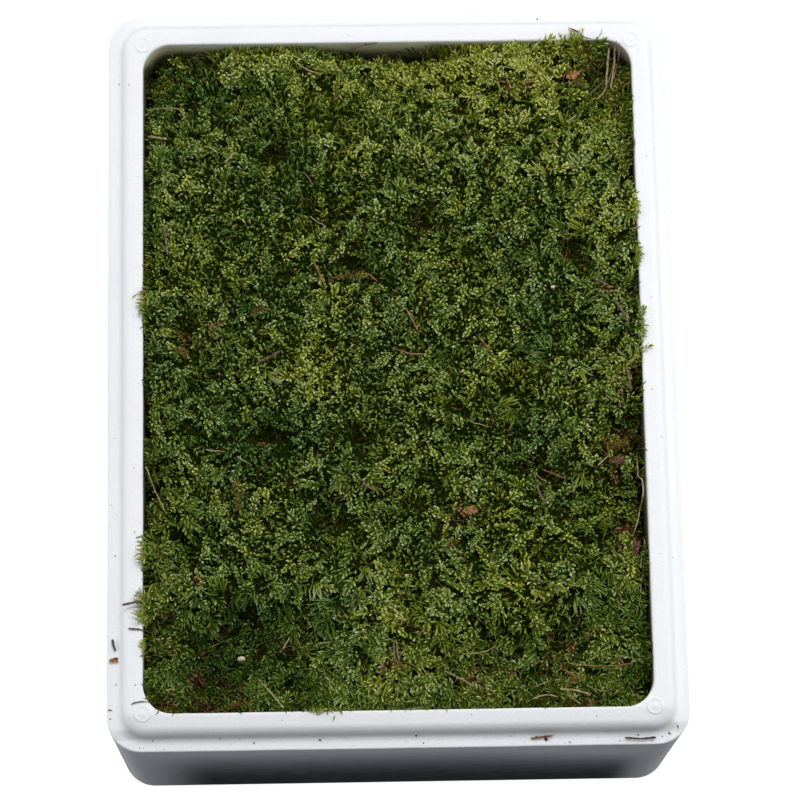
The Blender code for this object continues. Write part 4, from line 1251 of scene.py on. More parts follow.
@dataclass
class FeatherFronds(Planting):
    """Feathery shoots that rise, arch over and lie along the mat, with plump branches in two rows."""

    spacing: float = 4.2 * MM
    pairs: int = 6
    line_points: int = 13
    stem_points: int = 4
    stem_radius: float = 0.33 * MM
    reach: Tuple[float, float] = (7.0 * MM, 13.0 * MM)
    branch_length: float = 5.2 * MM
    branch_width: float = 0.92 * MM
    seed: int = 41

    def lines(self, x: Array, y: Array, rng: Random) -> Tuple[Array, Array]:
        """Middle line of each frond: its way over the mat, and an arch that rises and then settles.

        Args:
            x: The feet's x.
            y: The feet's y.
            rng: Where the variation between neighbours comes from.
        Returns:
            The lines, fronds by points by 3, and a factor on the size of each frond's branches.
        """
        count, last = len(x), self.line_points - 1
        towards = self.moss.lie(x, y, Clumps.at(x, y)) + rng.normal(0, 0.45, count)
        reach = rng.uniform(*self.reach, count)
        leaving = wall_distance(x + reach * np.cos(towards), y + reach * np.sin(towards)) < 0.3 * MM
        home = np.arctan2(-y, -x) + rng.normal(0, 0.6, count)
        towards = np.where(leaving, home, towards)
        rise = np.minimum(rng.normal(-0.1 * MM, 0.8 * MM, count), 0.9 * MM)
        vigour = rng.uniform(0.75, 1.1, count)
        share = np.linspace(0, 1, last + 1)[None]
        angle = towards[:, None] + rng.normal(0, 0.6, (count, 1)) * share
        line_x, line_y = walk(x, y, angle, reach[:, None] / last)
        arch = -4.8 * MM * (1 - np.sin(0.5 * np.pi * np.clip(share / 0.6, 0, 1))) - 0.9 * MM * share ** 3
        arch = arch + 0.6 * self.moss.dome(Clumps.at(line_x, line_y))
        arch = arch - 0.8 * hollow_depth(line_x, line_y) + rise[:, None]
        level = self.relief.height(line_x, line_y) + arch
        return pack(line_x, line_y, level), vigour

    def build(self) -> Growth:
        """Grows the fronds.

        Returns:
            The fronds.
        """
        rng = np.random.default_rng(self.seed)
        x, y, keep = self.lattice(self.spacing, 1.5 * MM, rng)
        keep &= rng.random(len(x)) < self.moss.frond_share(x, y)
        x, y = x[keep], y[keep]
        line, vigour = self.lines(x, y, rng)
        count, last = len(x), self.line_points - 1
        order = np.arange(self.pairs)
        at = (0.22 + 0.76 * order / (self.pairs - 1)) * last
        low = np.minimum(at.astype(int), last - 1)
        part = (at - low)[None, :, None]
        foot = line[:, low] * (1 - part) + line[:, low + 1] * part
        ahead = unit(line[:, low + 1] - line[:, low])
        across = unit(np.cross(ahead, UP))
        up = np.cross(across, ahead)
        hue, bright = self.moss.colours(x, y, rng)
        may_be_dead = (wall_distance(x, y) > 18 * MM) | (nearness(BROWN_PATCHES, x, y) > 0.35)
        hue = np.where((hue > 0.8) & may_be_dead, hue, np.clip(hue + 0.04, 0.02, 0.72))
        plump = grade(self.moss.frond_share(x, y), 0.75, 0.45)[:, None]
        feet = pack(x, y)
        growths = []
        for sign in (-1, 1):
            spread = np.radians(rng.uniform(26, 58, (count, self.pairs)))
            spread = spread * np.interp(order, (0, self.pairs - 1), (1.1, 0.22))[None]
            tilt = rng.uniform(-0.12, 0.50, (count, self.pairs, 1))
            turned = np.cos(spread)[..., None] * ahead + sign * np.sin(spread)[..., None] * across
            size = np.interp(order, (0, 1, self.pairs - 1), (0.75, 1.0, 0.70))[None] * self.branch_length
            size = size * vigour[:, None] * (1 - 0.26 * plump) * rng.uniform(0.65, 1.2, (count, self.pairs))
            width = self.branch_width * (1 + 0.30 * plump) * rng.uniform(0.75, 1.2, size.shape)
            # Tones darker to the foot as painted shade
            tip_tone = np.clip(0.90 * bright[:, None] + rng.normal(0, 0.09, size.shape), 0.15, 0.98)
            tones = tip_tone.reshape(-1, 1) * [[0.25, 0.58, 0.90, 1.0]]
            hues = np.repeat(hue[:, None], self.pairs, axis=1) + rng.normal(0, 0.02, size.shape)
            side_bend = -sign * rng.uniform(-0.08, 0.26, size.size)
            bend = pack(side_bend, rng.uniform(0.0, 0.24, size.size))
            row = strands(foot.reshape(-1, 3), unit(turned + tilt * up).reshape(-1, 3), up.reshape(-1, 3),
                          size.ravel(), width.ravel(), bend, tones, hues.ravel())
            growths.append(Growth.of(row, np.repeat(feet, self.pairs, axis=0)))
        return Growth.join([*growths, self.stems(line, hue, feet)])

    def stems(self, line: Array, hue: Array, feet: Array) -> Growth:
        """The stems as triangles with map values.

        Args:
            line: Middle line of each frond.
            hue: Hue of each frond.
            feet: Foot of each frond.
        Returns:
            The stems.
        """
        each = 3 * self.stem_points
        index = np.linspace(0, self.line_points - 1, self.stem_points).round().astype(int)
        radii = np.tile(self.stem_radius * np.linspace(0.9, 0.5, self.stem_points), (len(hue), 1))
        shape = clear_of_rim(sweep(line[:, index], radii, 3), each)
        quads, start, end = shape.faces
        triangles = np.concatenate([quads[:, [0, 1, 2]], quads[:, [0, 2, 3]], start, end])
        # Tones darker to the foot as painted shade
        tone = np.tile(np.repeat(np.linspace(0.2, 0.6, self.stem_points), 3), len(hue))
        spread = np.tile([-0.02, 0.0, 0.02], len(hue) * self.stem_points)
        marks = map_marks(tone, np.repeat(hue, each) + 0.03 + spread)
        return Growth(Shape(shape.vertices, [triangles], marks), feet[triangles[:, 0] // each])


@dataclass
class Sprays(Planting):
    """Bunches of long slim strands that rise from one foot, fan out and droop over the moss below them."""

    spacing: float = 8.6 * MM
    strands_each: int = 9
    length: Tuple[float, float] = (6.0 * MM, 11.5 * MM)
    width: float = 0.88 * MM
    seed: int = 47

    def level(self, x: Array, y: Array, low: float, high: float, rng: Random) -> Array:
        """Height of points that lie between low and high millimetres down in the moss."""
        ground = self.relief.height(x, y) - 0.6 * hollow_depth(x, y)
        return ground - rng.uniform(low, high, len(x)) * MM

    def build(self) -> Growth:
        """Grows the sprays, few of them in the middle of the mat and in hollows.

        Returns:
            The sprays.
        """
        rng = np.random.default_rng(self.seed)
        x, y, keep = self.lattice(self.spacing, 2.5 * MM, rng)
        wanted = np.clip((self.moss.frond_share(x, y) - 0.36) * 1.5, 0.02, 0.92)
        keep &= rng.random(len(x)) < wanted
        keep &= rng.random(len(x)) > 0.25 * hollow_depth(x, y) / MM
        x, y = x[keep], y[keep]
        towards = self.moss.lie(x, y, Clumps.at(x, y)) + rng.normal(0, 0.40, len(x))
        hue, bright = self.moss.colours(x, y, rng)
        hue = np.where(hue > 0.8, 0.45, hue)
        owner = np.repeat(np.arange(len(x)), self.strands_each)
        count = len(owner)
        angle = towards[owner] + rng.normal(0, 0.55, count)
        length = rng.uniform(*self.length, count)
        feet_x = x[owner] + rng.normal(0, 0.9 * MM, count)
        feet_y = y[owner] + rng.normal(0, 0.9 * MM, count)
        leaving = wall_distance(feet_x + length * np.cos(angle), feet_y + length * np.sin(angle)) < 0.5 * MM
        length = np.where(leaving, 0.45 * length, length)
        end_x, end_y = feet_x + length * np.cos(angle), feet_y + length * np.sin(angle)
        foot = pack(feet_x, feet_y, self.level(feet_x, feet_y, 0.6, 1.8, rng))
        way = pack(end_x, end_y, self.level(end_x, end_y, 0.2, 2.2, rng)) - foot
        bend = self.bends(count, 0.10, (0.08, 0.24), rng)
        # Tones darker to the foot as painted shade
        tip_tone = np.clip(0.90 * bright[owner] + rng.normal(0, 0.08, count), 0.2, 0.99)[:, None]
        width = self.width * rng.uniform(0.7, 1.2, count)
        tones, hue = tip_tone * [[0.35, 0.70, 0.92, 1.0]], hue[owner] + rng.normal(0, 0.07, count)
        length = np.linalg.norm(way, axis=1)
        bodies = strands(foot, unit(way), UP, length, width, bend, tones, hue, LONG_RINGS)
        return Growth.of(bodies, pack(x, y)[owner])


@dataclass
class RimSpikes(Planting):
    """Thin light shoots that hang out over the collar in tufts, as the photograph shows them."""

    per_length: float = 3.6
    width: float = 0.74 * MM
    seed: int = 45

    def tuft(self, tuft_x: float, tuft_y: float, half: float, out: float, rng: Random) -> List[Array]:
        """Feet, directions and lengths of one tuft, rooted just inside the wall.

        Args:
            tuft_x: First coordinate of its middle, in millimetres as all four numbers are.
            tuft_y: Second coordinate of its middle.
            half: Half its length along the wall.
            out: How far it reaches over the collar.
            rng: Where the variation between neighbours comes from.
        Returns:
            The x and y of each foot, the directions and the lengths.
        """
        count = int(half * self.per_length) + 8
        slide = rng.normal(0, 0.5, count) * half * MM
        inwards = rng.uniform(0.4, 3.0, count) * MM
        if abs(tuft_x) > 130:
            feet = [np.sign(tuft_x) * (OPENING_HALF_X - inwards), tuft_y * MM + slide]
            outward = 0.0 if tuft_x > 0 else np.pi
        else:
            feet = [tuft_x * MM + slide, np.sign(tuft_y) * (OPENING_HALF_Y - inwards)]
            outward = np.sign(tuft_y) * np.pi / 2
        towards = outward + rng.normal(0, 0.62, count)
        centred = np.clip(1 - 0.45 * np.abs(slide) / (half * MM), 0.2, 1)
        length = inwards + out * MM * centred * rng.uniform(0.05, 1.0, count) ** 0.8
        return [np.stack(feet, axis=-1), towards, length]

    def build(self) -> Growth:
        """Grows the spikes.

        Returns:
            The spikes.
        """
        rng = np.random.default_rng(self.seed)
        tufts = [self.tuft(*tuft, rng) for tuft in RIM_TUFTS]
        feet, towards, length = (np.concatenate(column) for column in zip(*tufts))
        count = len(feet)
        rise = np.radians(rng.uniform(4, 26, count))[:, None]
        axis = flat_angle(towards) * np.cos(rise) + np.sin(rise) * UP
        level = np.maximum(self.relief.height(*feet.T) - 1.5 * MM, RIM_LEVEL - 0.7 * MM)
        foot = np.column_stack([feet, level + rng.uniform(0, 1.2, count) * MM])
        hue = np.where(rng.random(count) < 0.015, 0.94, np.clip(rng.normal(0.48, 0.13, count), 0.05, 0.72))
        # Tones darker to the foot as painted shade
        tones = rng.uniform(0.80, 0.99, (count, 1)) * [[0.45, 0.72, 0.92, 1.0]]
        bend = self.bends(count, 0.14, (0.0, 0.16), rng)
        width = self.width * rng.uniform(0.7, 1.3, count)
        bodies = strands(foot, axis, UP, length, width, bend, tones, hue, LONG_RINGS)
        return Growth.of(bodies, feet, over=True)


@dataclass
class MossBed:
    """The thatch that the shoots grow out of, closed down its sides to the tray's floor."""

    relief: MossRelief
    columns: int = 96
    rows: int = 132
    depth: float = 4.6 * MM
    highest: float = 138 * MM
    gap: float = 0.9 * MM
    edge_band: float = 4.0 * MM
    edge_drop: float = 9.0 * MM
    foot_rise: float = 8 * MM

    def outline_grid(self) -> Tuple[Array, Array]:
        """Grid over the opening: each corner block (s, t) goes to the quarter disc s sqrt(1 - t^2 / 2)."""
        half_x, half_y = OPENING_HALF_X - self.gap, OPENING_HALF_Y - self.gap
        radius = OPENING_CORNER - self.gap
        x, y = np.meshgrid(np.linspace(-half_x, half_x, self.columns),
                           np.linspace(-half_y, half_y, self.rows), indexing="ij")
        s = np.clip((np.abs(x) - (half_x - radius)) / radius, 0, 1)
        t = np.clip((np.abs(y) - (half_y - radius)) / radius, 0, 1)
        corner = (s > 0) & (t > 0)
        round_x = np.sign(x) * (half_x - radius + radius * s * np.sqrt(1 - t * t / 2))
        round_y = np.sign(y) * (half_y - radius + radius * t * np.sqrt(1 - s * s / 2))
        return np.where(corner, round_x, x), np.where(corner, round_y, y)

    def build(self) -> None:
        """Makes the bed."""
        x, y = self.outline_grid()
        edge = grade(wall_distance(x, y), self.edge_band, 0)
        uneven = 0.7 * MM * smooth_noise(x, y, 4.5 * MM, 51) + 0.5 * MM * smooth_noise(x, y, 2.8 * MM, 52)
        top = self.relief.height(x, y) - self.depth - self.edge_drop * edge * edge
        top = np.minimum(top + uneven - 0.9 * hollow_depth(x, y), self.highest)
        upper = pack(x, y, top).reshape(-1, 3)
        index = np.arange(self.columns * self.rows).reshape(self.columns, self.rows)
        border = np.concatenate([index[:-1, 0], index[-1, :-1], index[:0:-1, -1], index[0, :0:-1]])
        shrink = 1 - INNER_DRAFT / OPENING_HALF_X
        foot = upper[border] * [shrink, shrink, 0] + [0, 0, FLOOR_LEVEL + self.foot_rise]
        base = foot * [0.97, 0.98, 0] + [0, 0, FLOOR_LEVEL]
        start, around = len(upper), np.arange(len(border))
        after = np.roll(around, -1)
        skirt = pack(border, start + around, start + after, border[after])
        lower = pack(around, around + len(border), after + len(border), after) + start
        under = (start + len(border) + around)[::-1][None]
        faces = [grid_faces(self.columns, self.rows)[:, [0, 3, 2, 1]], skirt, lower, under]
        shape = Shape(np.concatenate([upper, foot, base]), faces)
        add_piece("moss_bed", shape, ThatchFinish().dress(), Slot.MOSS, ["moss_mat"])


@dataclass
class MossMat:
    """The whole mat: its bed, then the shoots and fronds, parted by area into pieces."""

    columns: int = 2
    rows: int = 4

    def build(self) -> Tuple[MossRelief, Material]:
        """Makes the bed and the patches of shoots.

        Returns:
            The mat's relief and the shoots' finish, for what lies on the mat.
        """
        relief = MossRelief.read("moss_mat")
        MossBed(relief).build()
        kinds = (UprightShoots, FeatherFronds, Sprays, RimSpikes)
        growth = Growth.join([kind(relief, MossCharacter()).build() for kind in kinds])
        material = MossFinish().dress()
        whole = growth.shape
        place = (growth.feet / [OPENING_HALF_X, OPENING_HALF_Y] + 1) / 2 * [self.columns, self.rows]
        column, row = np.clip(place.astype(int), 0, [self.columns - 1, self.rows - 1]).T
        for number in range(self.columns * self.rows):
            chosen = whole.faces[0][column * self.rows + row == number]
            used, renumbered = np.unique(chosen, return_inverse=True)
            part = Shape(whole.vertices[used], [renumbered.reshape(-1, 3)], whole.marks[used])
            add_piece(f"moss_shoots_{number + 1}", part, material, Slot.MOSS, ["moss_mat"], *LEAFY)
        return relief, material


# Litter


@dataclass(frozen=True)
class StalkLook:
    """How one kind of stalk looks: its finish, slot, girth, ridges, bumps and ends."""

    finish: StalkFinish
    slot: Slot
    girth: float
    ridges: int
    ridge_depth: float
    bumps: float
    ends: Tuple[float, float]
    taper: float
    knot_every: float = 0.0

    def girths(self, length: float, count: int, rng: Random) -> Array:
        """Factor on the radius along the stalk: tapered ends, slow lumps and knots.

        Args:
            length: The stalk's length.
            count: How many rings it has.
            rng: Where its lumps come from.
        Returns:
            A factor for each ring.
        """
        at = np.linspace(0, length, count)
        reach = self.taper * length
        factor = np.interp(at, (0, reach, length - reach, length), (self.ends[0], 1, 1, self.ends[1]))
        uneven = smooth_noise(at, at * 0 + rng.uniform(0, 0.5), 1.6 * MM, int(rng.integers(1000)))
        factor = factor * (1 + self.bumps * uneven)
        if self.knot_every:
            phase = rng.uniform(0, self.knot_every)
            off = (at + phase) % self.knot_every - self.knot_every / 2
            factor = factor * (1 + 0.30 * np.exp(-(off / (0.5 * MM)) ** 2))
        return factor


STALK_LOOKS: Dict[str, StalkLook] = {
    "pine_needle": StalkLook(NEEDLE_FINISH, Slot.PINE_NEEDLE, 0.70, 2, 0.16, 0.06, (0.9, 0.12), 0.22),
    "straw": StalkLook(STRAW_FINISH, Slot.STRAW, 0.54, 5, 0.13, 0.12, (0.8, 0.55), 0.08, 7.0 * MM),
    "grass_stem": StalkLook(
        STEM_FINISH, Slot.GRASS_STEM, 0.52, 4, 0.15, 0.14, (0.85, 0.25), 0.20, 11.0 * MM),
    "twig": StalkLook(TWIG_FINISH, Slot.TWIG, 0.60, 6, 0.15, 0.20, (0.85, 0.7), 0.06, 4.0 * MM),
}

# Stalks that the photograph shows unlike others of their kind: factor on the girth, and finish
ODD_GIRTHS = {
    "twig_1": 0.62, "twig_6": 0.62, "twig_10": 0.72, "twig_11": 1.15, "straw_2": 1.45, "straw_3": 1.35,
    "straw_4": 0.85, "straw_5": 1.5, "straw_11": 1.35, "straw_13": 1.75, "straw_14": 1.15,
    "pine_needle_1": 0.78, "grass_stem_1": 0.85,
}
ODD_FINISHES: Dict[str, StalkFinish] = {
    "twig_1": STRAW_FINISH, "twig_6": STRAW_FINISH,
    "twig_10": BLACK_TWIG_FINISH, "twig_11": BLACK_TWIG_FINISH,
    "pine_needle_1": TAN_NEEDLE_FINISH, "grass_stem_2": TAN_NEEDLE_FINISH,
    "straw_13": DARK_STRAW_FINISH, "straw_14": DARK_STRAW_FINISH,
}

# Leaf scraps that are darker than the others, and how deep the scraps lie
DARK_LEAVES = ("leaf_scrap_3", "leaf_scrap_4")
LEAF_SINK = 0.8 * MM
ODD_SINKS = {"leaf_scrap_5": 0.2 * MM, "leaf_scrap_6": 0.0}


def stalk_line(name: str) -> Tuple[Array, Array]:
    """Middle line of a CAD stalk: its rings are told apart by distance and followed from one end.

    Args:
        name: The CAD node.
    Returns:
        The rings' centres and their radii.
    """
    points = node_points(name)
    near = np.linalg.norm(points[:, None] - points[None], axis=-1) < 1.25 * MM
    group = np.arange(len(points))
    for _ in range(8):
        group = np.where(near, group[None], len(points)).min(axis=1)
    rings = [points[group == number] for number in np.unique(group)]
    centres = np.array([ring.mean(axis=0) for ring in rings])
    radii = np.array([np.linalg.norm(ring - ring.mean(axis=0), axis=1).mean() for ring in rings])
    spread = np.linalg.norm(centres[:, None] - centres[None], axis=-1)
    order = [int(np.unravel_index(spread.argmax(), spread.shape)[0])]
    while len(order) < len(centres):
        left = [number for number in range(len(centres)) if number not in order]
        order.append(min(left, key=lambda number: spread[order[-1], number]))
    return centres[order], radii[order]


@dataclass
class LitterPiece:
    """A piece of litter drawn finer than its CAD node."""

    name: str
    material: Material
    seed: int

    def add(self, shape: Shape, slot: Slot) -> None:
        """Puts a shape in place of the node."""
        add_piece(f"{self.name}_fine", shape, self.material, slot, [self.name])


@dataclass
class Stalk(LitterPiece):
    """A needle, straw, stem or twig."""

    look: StalkLook
    sides: int = 12
    ring_step: float = 0.45 * MM
    sway: float = 0.16 * MM
    twist_rate: float = 0.05 / MM

    def build(self) -> None:
        """Makes the stalk in place of its node."""
        rng = np.random.default_rng(self.seed)
        centres, radii = stalk_line(self.name)
        length = np.linalg.norm(np.diff(centres, axis=0), axis=1).sum()
        count = max(int(length / self.ring_step), 12)
        line = smooth_line(centres, count)
        at = np.linspace(0, length, count)
        for axis in range(3):
            line[:, axis] += self.sway * smooth_noise(at, at * 0, 3.5 * MM, self.seed + axis)
        radius = np.interp(np.linspace(0, 1, count), np.linspace(0, 1, len(radii)), radii).max()
        radius = radius * self.look.girth * ODD_GIRTHS.get(self.name, 1.0)
        girth = radius * self.look.girths(length, count, rng)
        twist = 2 * np.pi * np.arange(self.sides) / self.sides + self.twist_rate * at[:, None]
        ridged = 1 + self.look.ridge_depth * np.cos(self.look.ridges * twist)
        shape = sweep(line[None], (girth[:, None] * ridged)[None], self.sides)
        self.add(shape, self.look.slot)


@dataclass
class LeafScrap(LitterPiece):
    """A torn scrap of dead leaf: a curled, ragged sheet of the CAD scrap's size and lie."""

    rings: int = 14
    spokes: int = 64
    thickness: float = 0.16 * MM
    sunk: float = 0.0

    def build(self) -> None:
        """Makes the scrap in place of its node."""
        rng = np.random.default_rng(self.seed)
        points = node_points(self.name)
        centre = points.mean(axis=0)
        axes = np.linalg.svd(points - centre)[2]
        if axes[2, 2] < 0:
            axes[2] = -axes[2]
        half = np.abs((points - centre) @ axes.T).max(axis=0)
        turn = np.linspace(0, 2 * np.pi, self.spokes, endpoint=False)
        ragged = (0.76 + 0.18 * smooth_noise(turn * 2, turn * 0 + self.seed, 1.0, self.seed)
                  + 0.15 * smooth_noise(turn * 8, turn * 0, 1.0, self.seed + 1))
        notch = 1 - 0.45 * np.exp(-((turn - rng.uniform(0.5, 5.5)) / 0.22) ** 2)
        outline = ragged * notch * (1 + 0.18 * np.cos(turn))
        share = np.linspace(0.02, 1, self.rings)[:, None]
        u, v = share * outline * np.cos(turn), share * outline * np.sin(turn)
        curl = 0.9 * half[2] * (0.7 * v * v + 0.5 * u * u - 0.4)
        fold = 0.22 * MM * smooth_noise(u * 3, v * 3, 1.0, self.seed + 2)
        fold = fold - 0.35 * MM * np.exp(-(v / 0.10) ** 2)
        height = curl + fold + 0.25 * half[2] - self.sunk
        sheet = centre + pack(u * half[0], v * half[1], height) @ axes
        below = sheet[::-1] - axes[2] * self.thickness
        rows = np.concatenate([sheet, sheet[-1:] * 0.5 + below[:1] * 0.5, below])
        faces = [grid_faces(len(rows), self.spokes, closed=True), *grid_ends(len(rows), self.spokes)]
        flipped = (1, 0, 0) if np.cross(axes[0], axes[1]) @ axes[2] > 0 else (0, 1, 1)
        faces = [group[:, ::-1] if flip else group for group, flip in zip(faces, flipped)]
        self.add(Shape(rows.reshape(-1, 3), faces), Slot.LEAF_SCRAP)


def lumps(centres: Array, sizes: Array, turns: Array, grid: Tuple[int, int],
          unevenness: float, seed: int) -> Shape:
    """Uneven pebbles: spheres of rows by columns points, stretched, turned about z and pushed in by noise.

    Args:
        centres: Middle of each pebble.
        sizes: Its three half sizes.
        turns: Its turn about z.
        grid: Points from pole to pole and around.
        unevenness: How far noise pushes the surface in, as a share.
        seed: Which noise.
    Returns:
        The pebbles.
    """
    rows, columns = grid
    lat = np.linspace(0.12, np.pi - 0.12, rows)[:, None]
    lon = 2 * np.pi * np.arange(columns)[None] / columns
    ball = pack(np.sin(lat) * np.cos(lon), np.sin(lat) * np.sin(lon), np.cos(lat) + 0 * lon)
    ball = ball.reshape(1, -1, 3)
    shift = np.arange(len(centres))[:, None] * 3.7
    dent = smooth_noise(ball[..., 0] * 2.2 + shift, ball[..., 1] * 2.2 + ball[..., 2] * 1.7, 1.0, seed)
    points = ball * sizes[:, None] * (1 - unevenness * (0.5 + 0.5 * dent))[..., None]
    cosine, sine = np.cos(turns)[:, None], np.sin(turns)[:, None]
    x, y, z = np.moveaxis(points, -1, 0)
    points = pack(x * cosine - y * sine, x * sine + y * cosine, z) + centres[:, None]
    groups = [grid_faces(rows, columns, closed=True)[:, ::-1], *grid_ends(rows, columns)]
    return Shape(points.reshape(-1, 3), copied(groups, len(centres), rows * columns))


@dataclass
class Crumb(LitterPiece):
    """A pale crumb."""

    def build(self) -> None:
        """Makes the crumb in place of its node."""
        points = node_points(self.name)
        centre = points.mean(axis=0)
        half = np.abs(points - centre).max(axis=0)
        self.add(lumps(centre[None], half[None], np.zeros(1), (22, 34), 0.30, self.seed), Slot.CRUMB)


# Hair-thin litter: width and route in millimetres, on the mat, the collar or the ledge
PALE_HAIRS = (
    (0.5, ((113.2, 181.4), (115.2, 184.2), (116, 187.5))),
    (0.5, ((-136.8, 39.8), (-133.6, 41.8), (-129.5, 43))),
    (0.6, ((106.1, 3.6), (107.0, 7.6), (108.5, 11.8))), (0.7, ((-98.9, -41.6), (-88.5, -42.8))),
    (0.7, ((-82.2, -45.6), (-74.4, -50.6))), (0.6, ((-2, -145.4), (-2.4, -150.6), (-1.7, -155.8))),
    (0.6, ((11.2, -157.6), (15.7, -162.8), (20.8, -164))), (0.6, ((-43.1, 86.1), (-34.1, 80.5))),
    (0.6, ((40.5, -29.1), (50.3, -32.5))), (0.6, ((-41.2, -144.8), (-33.9, -144.3))),
    (0.7, ((4.5, -180.3), (8.6, -180.4), (12.8, -178.9))), (0.5, ((72.2, -55.4), (79.9, -61.9))),
    (0.8, ((112.4, 148.4), (116.9, 153.6), (118.6, 160.5))),
    (0.6, ((124.6, 171.0), (122.4, 163.5), (118.9, 157.2))),
    (0.7, ((-0.9, -144.8), (-0.6, -150.6), (0.4, -156.2))),
    (0.6, ((127.2, -112.6), (126.1, -124.0), (123.6, -133))),
    (0.8, ((129.6, -93.0), (129.0, -104.0), (126.3, -117.6))),
    (0.6, ((33.0, -152.0), (44.8, -150.6), (51.0, -146.6))),
    (0.5, ((96.2, -169.0), (104.4, -172.2), (110.8, -171.2))), (0.5, ((70.6, -168.6), (81.0, -165.4))),
    (1.0, ((106.4, -53.2), (112.8, -47.4))),
)
DARK_HAIRS = (
    (1.1, ((99.3, 187.6), (102.6, 185.0), (106.2, 181.5), (109.4, 180.2))),
    (0.7, ((-137.1, -176.2), (-132.2, -175.2), (-127.4, -175.3))),
    (0.6, ((-134.6, -89.5), (-130.5, -88.5))), (1.0, ((-2.4, -144.6), (-1.9, -151.0), (-0.4, -157.6))),
    (0.8, ((-134.4, -137.2), (-131.0, -137.9), (-126.8, -138.4))),
    (0.9, ((-134.6, -123.8), (-130.4, -122.8), (-126.0, -121.6))),
    (0.7, ((-149.4, -177.8), (-147.3, -177.9))), (0.7, ((138, -193.8), (139.5, -194.9))),
    (0.7, ((143.3, -190.3), (143.2, -192.3))), (1.4, ((-20.0, 179.6), (-13.0, 180.2), (-5.3, 181))),
    (1.0, ((130.4, 128.7), (131.0, 121.0), (130.2, 113.5))),
    (0.9, ((130.2, 82.1), (130.8, 75.0), (131.0, 68.2))), (0.8, ((-22.2, -118.8), (-23.9, -127.2))),
    (0.7, ((2, -150.6), (-0.7, -157.9))), (0.8, ((-45.4, 109.6), (-40.7, 102.3))),
    (0.8, ((85.3, 105.1), (87.6, 109.6))), (0.8, ((120.6, -12.4), (120, -21))),
    (0.7, ((53, 72.1), (61.5, 74.2))), (0.8, ((-38.6, -158.2), (-36.8, -166.8))),
    (0.7, ((-64.4, 97.8), (-57.0, 93.2))),
    (0.9, ((123.6, 180.2), (122.4, 174.0), (121.8, 167.6), (118.6, 157.4), (113.6, 149.0))),
    (0.8, ((125.2, 178.8), (124.4, 171.6), (123.1, 164.7))),
    (0.9, ((116.6, 160.2), (110.4, 152.6), (105.8, 148.8))), (0.8, ((126.4, 166.8), (122.8, 158.8))),
)
DEAD_FRONDS = (
    (0.9, ((-31.3, 50.5), (-22.6, 52.0), (-13.8, 51.9))),
    (0.9, ((-96.4, -180.3), (-85.6, -176.3), (-72.3, -173.4))),
    (0.8, ((-83.8, -56.3), (-81.3, -66.5), (-81.9, -75))),
    (0.8, ((96.0, 166.4), (99.2, 160.6), (104.6, 156.6))), (0.8, ((-74.6, 30.0), (-66.8, 34.6))),
    (0.8, ((24.0, -97.6), (31.2, -92.0))), (0.9, ((-0.4, -155.4), (1.6, -160.4))),
    (0.8, ((-116.0, 13.4), (-108.6, 10.2))), (0.8, ((86.4, -170.0), (92.0, -163.4))),
    (0.8, ((108.2, -38.8), (116.0, -42.0), (122.6, -39.0))),
)

# Specks of peat on the tray: x, y and half size in millimetres
LEDGE_SPECKS = (
    (-144.3, 161.2, 0.5), (81.7, 196.1, 0.9), (139.9, -39.4, 0.6), (144, -102.7, 0.5), (-145.9, -97.2, 0.6),
    (-145.3, -164.9, 0.6), (-148.2, -182.5, 0.6), (-141.2, 30.4, 0.4), (-126.3, -194.2, 0.6),
    (-92, -193.7, 0.7), (-81.8, -194.0, 0.5), (-74.6, -196.1, 0.7), (-64.3, -193.8, 0.5),
    (-40.8, -195.1, 0.8), (-27.9, -193.9, 0.5), (8.5, -193.8, 0.9), (87.4, -198.2, 0.6),
    (75.1, -196.4, 1.2), (70.2, -195.2, 1.0), (12.2, -197.4, 0.6), (122.6, -195.0, 0.7),
    (129.6, -198.2, 0.5), (135.0, -196.0, 0.6), (113.0, -197.9, 0.5),
)
COLLAR_SPECKS = (
    (-138.4, 158.5, 0.5), (137.5, 115.3, 0.5), (137.2, 36.5, 0.5), (-135.1, -166.4, 0.6),
    (-135.3, -86.3, 0.5), (135.7, -13.7, 0.5), (-60.0, -185.6, 0.4), (37.0, -184.4, 0.5),
    (101.0, -186.0, 0.5), (-20.5, 185.0, 0.4),
)


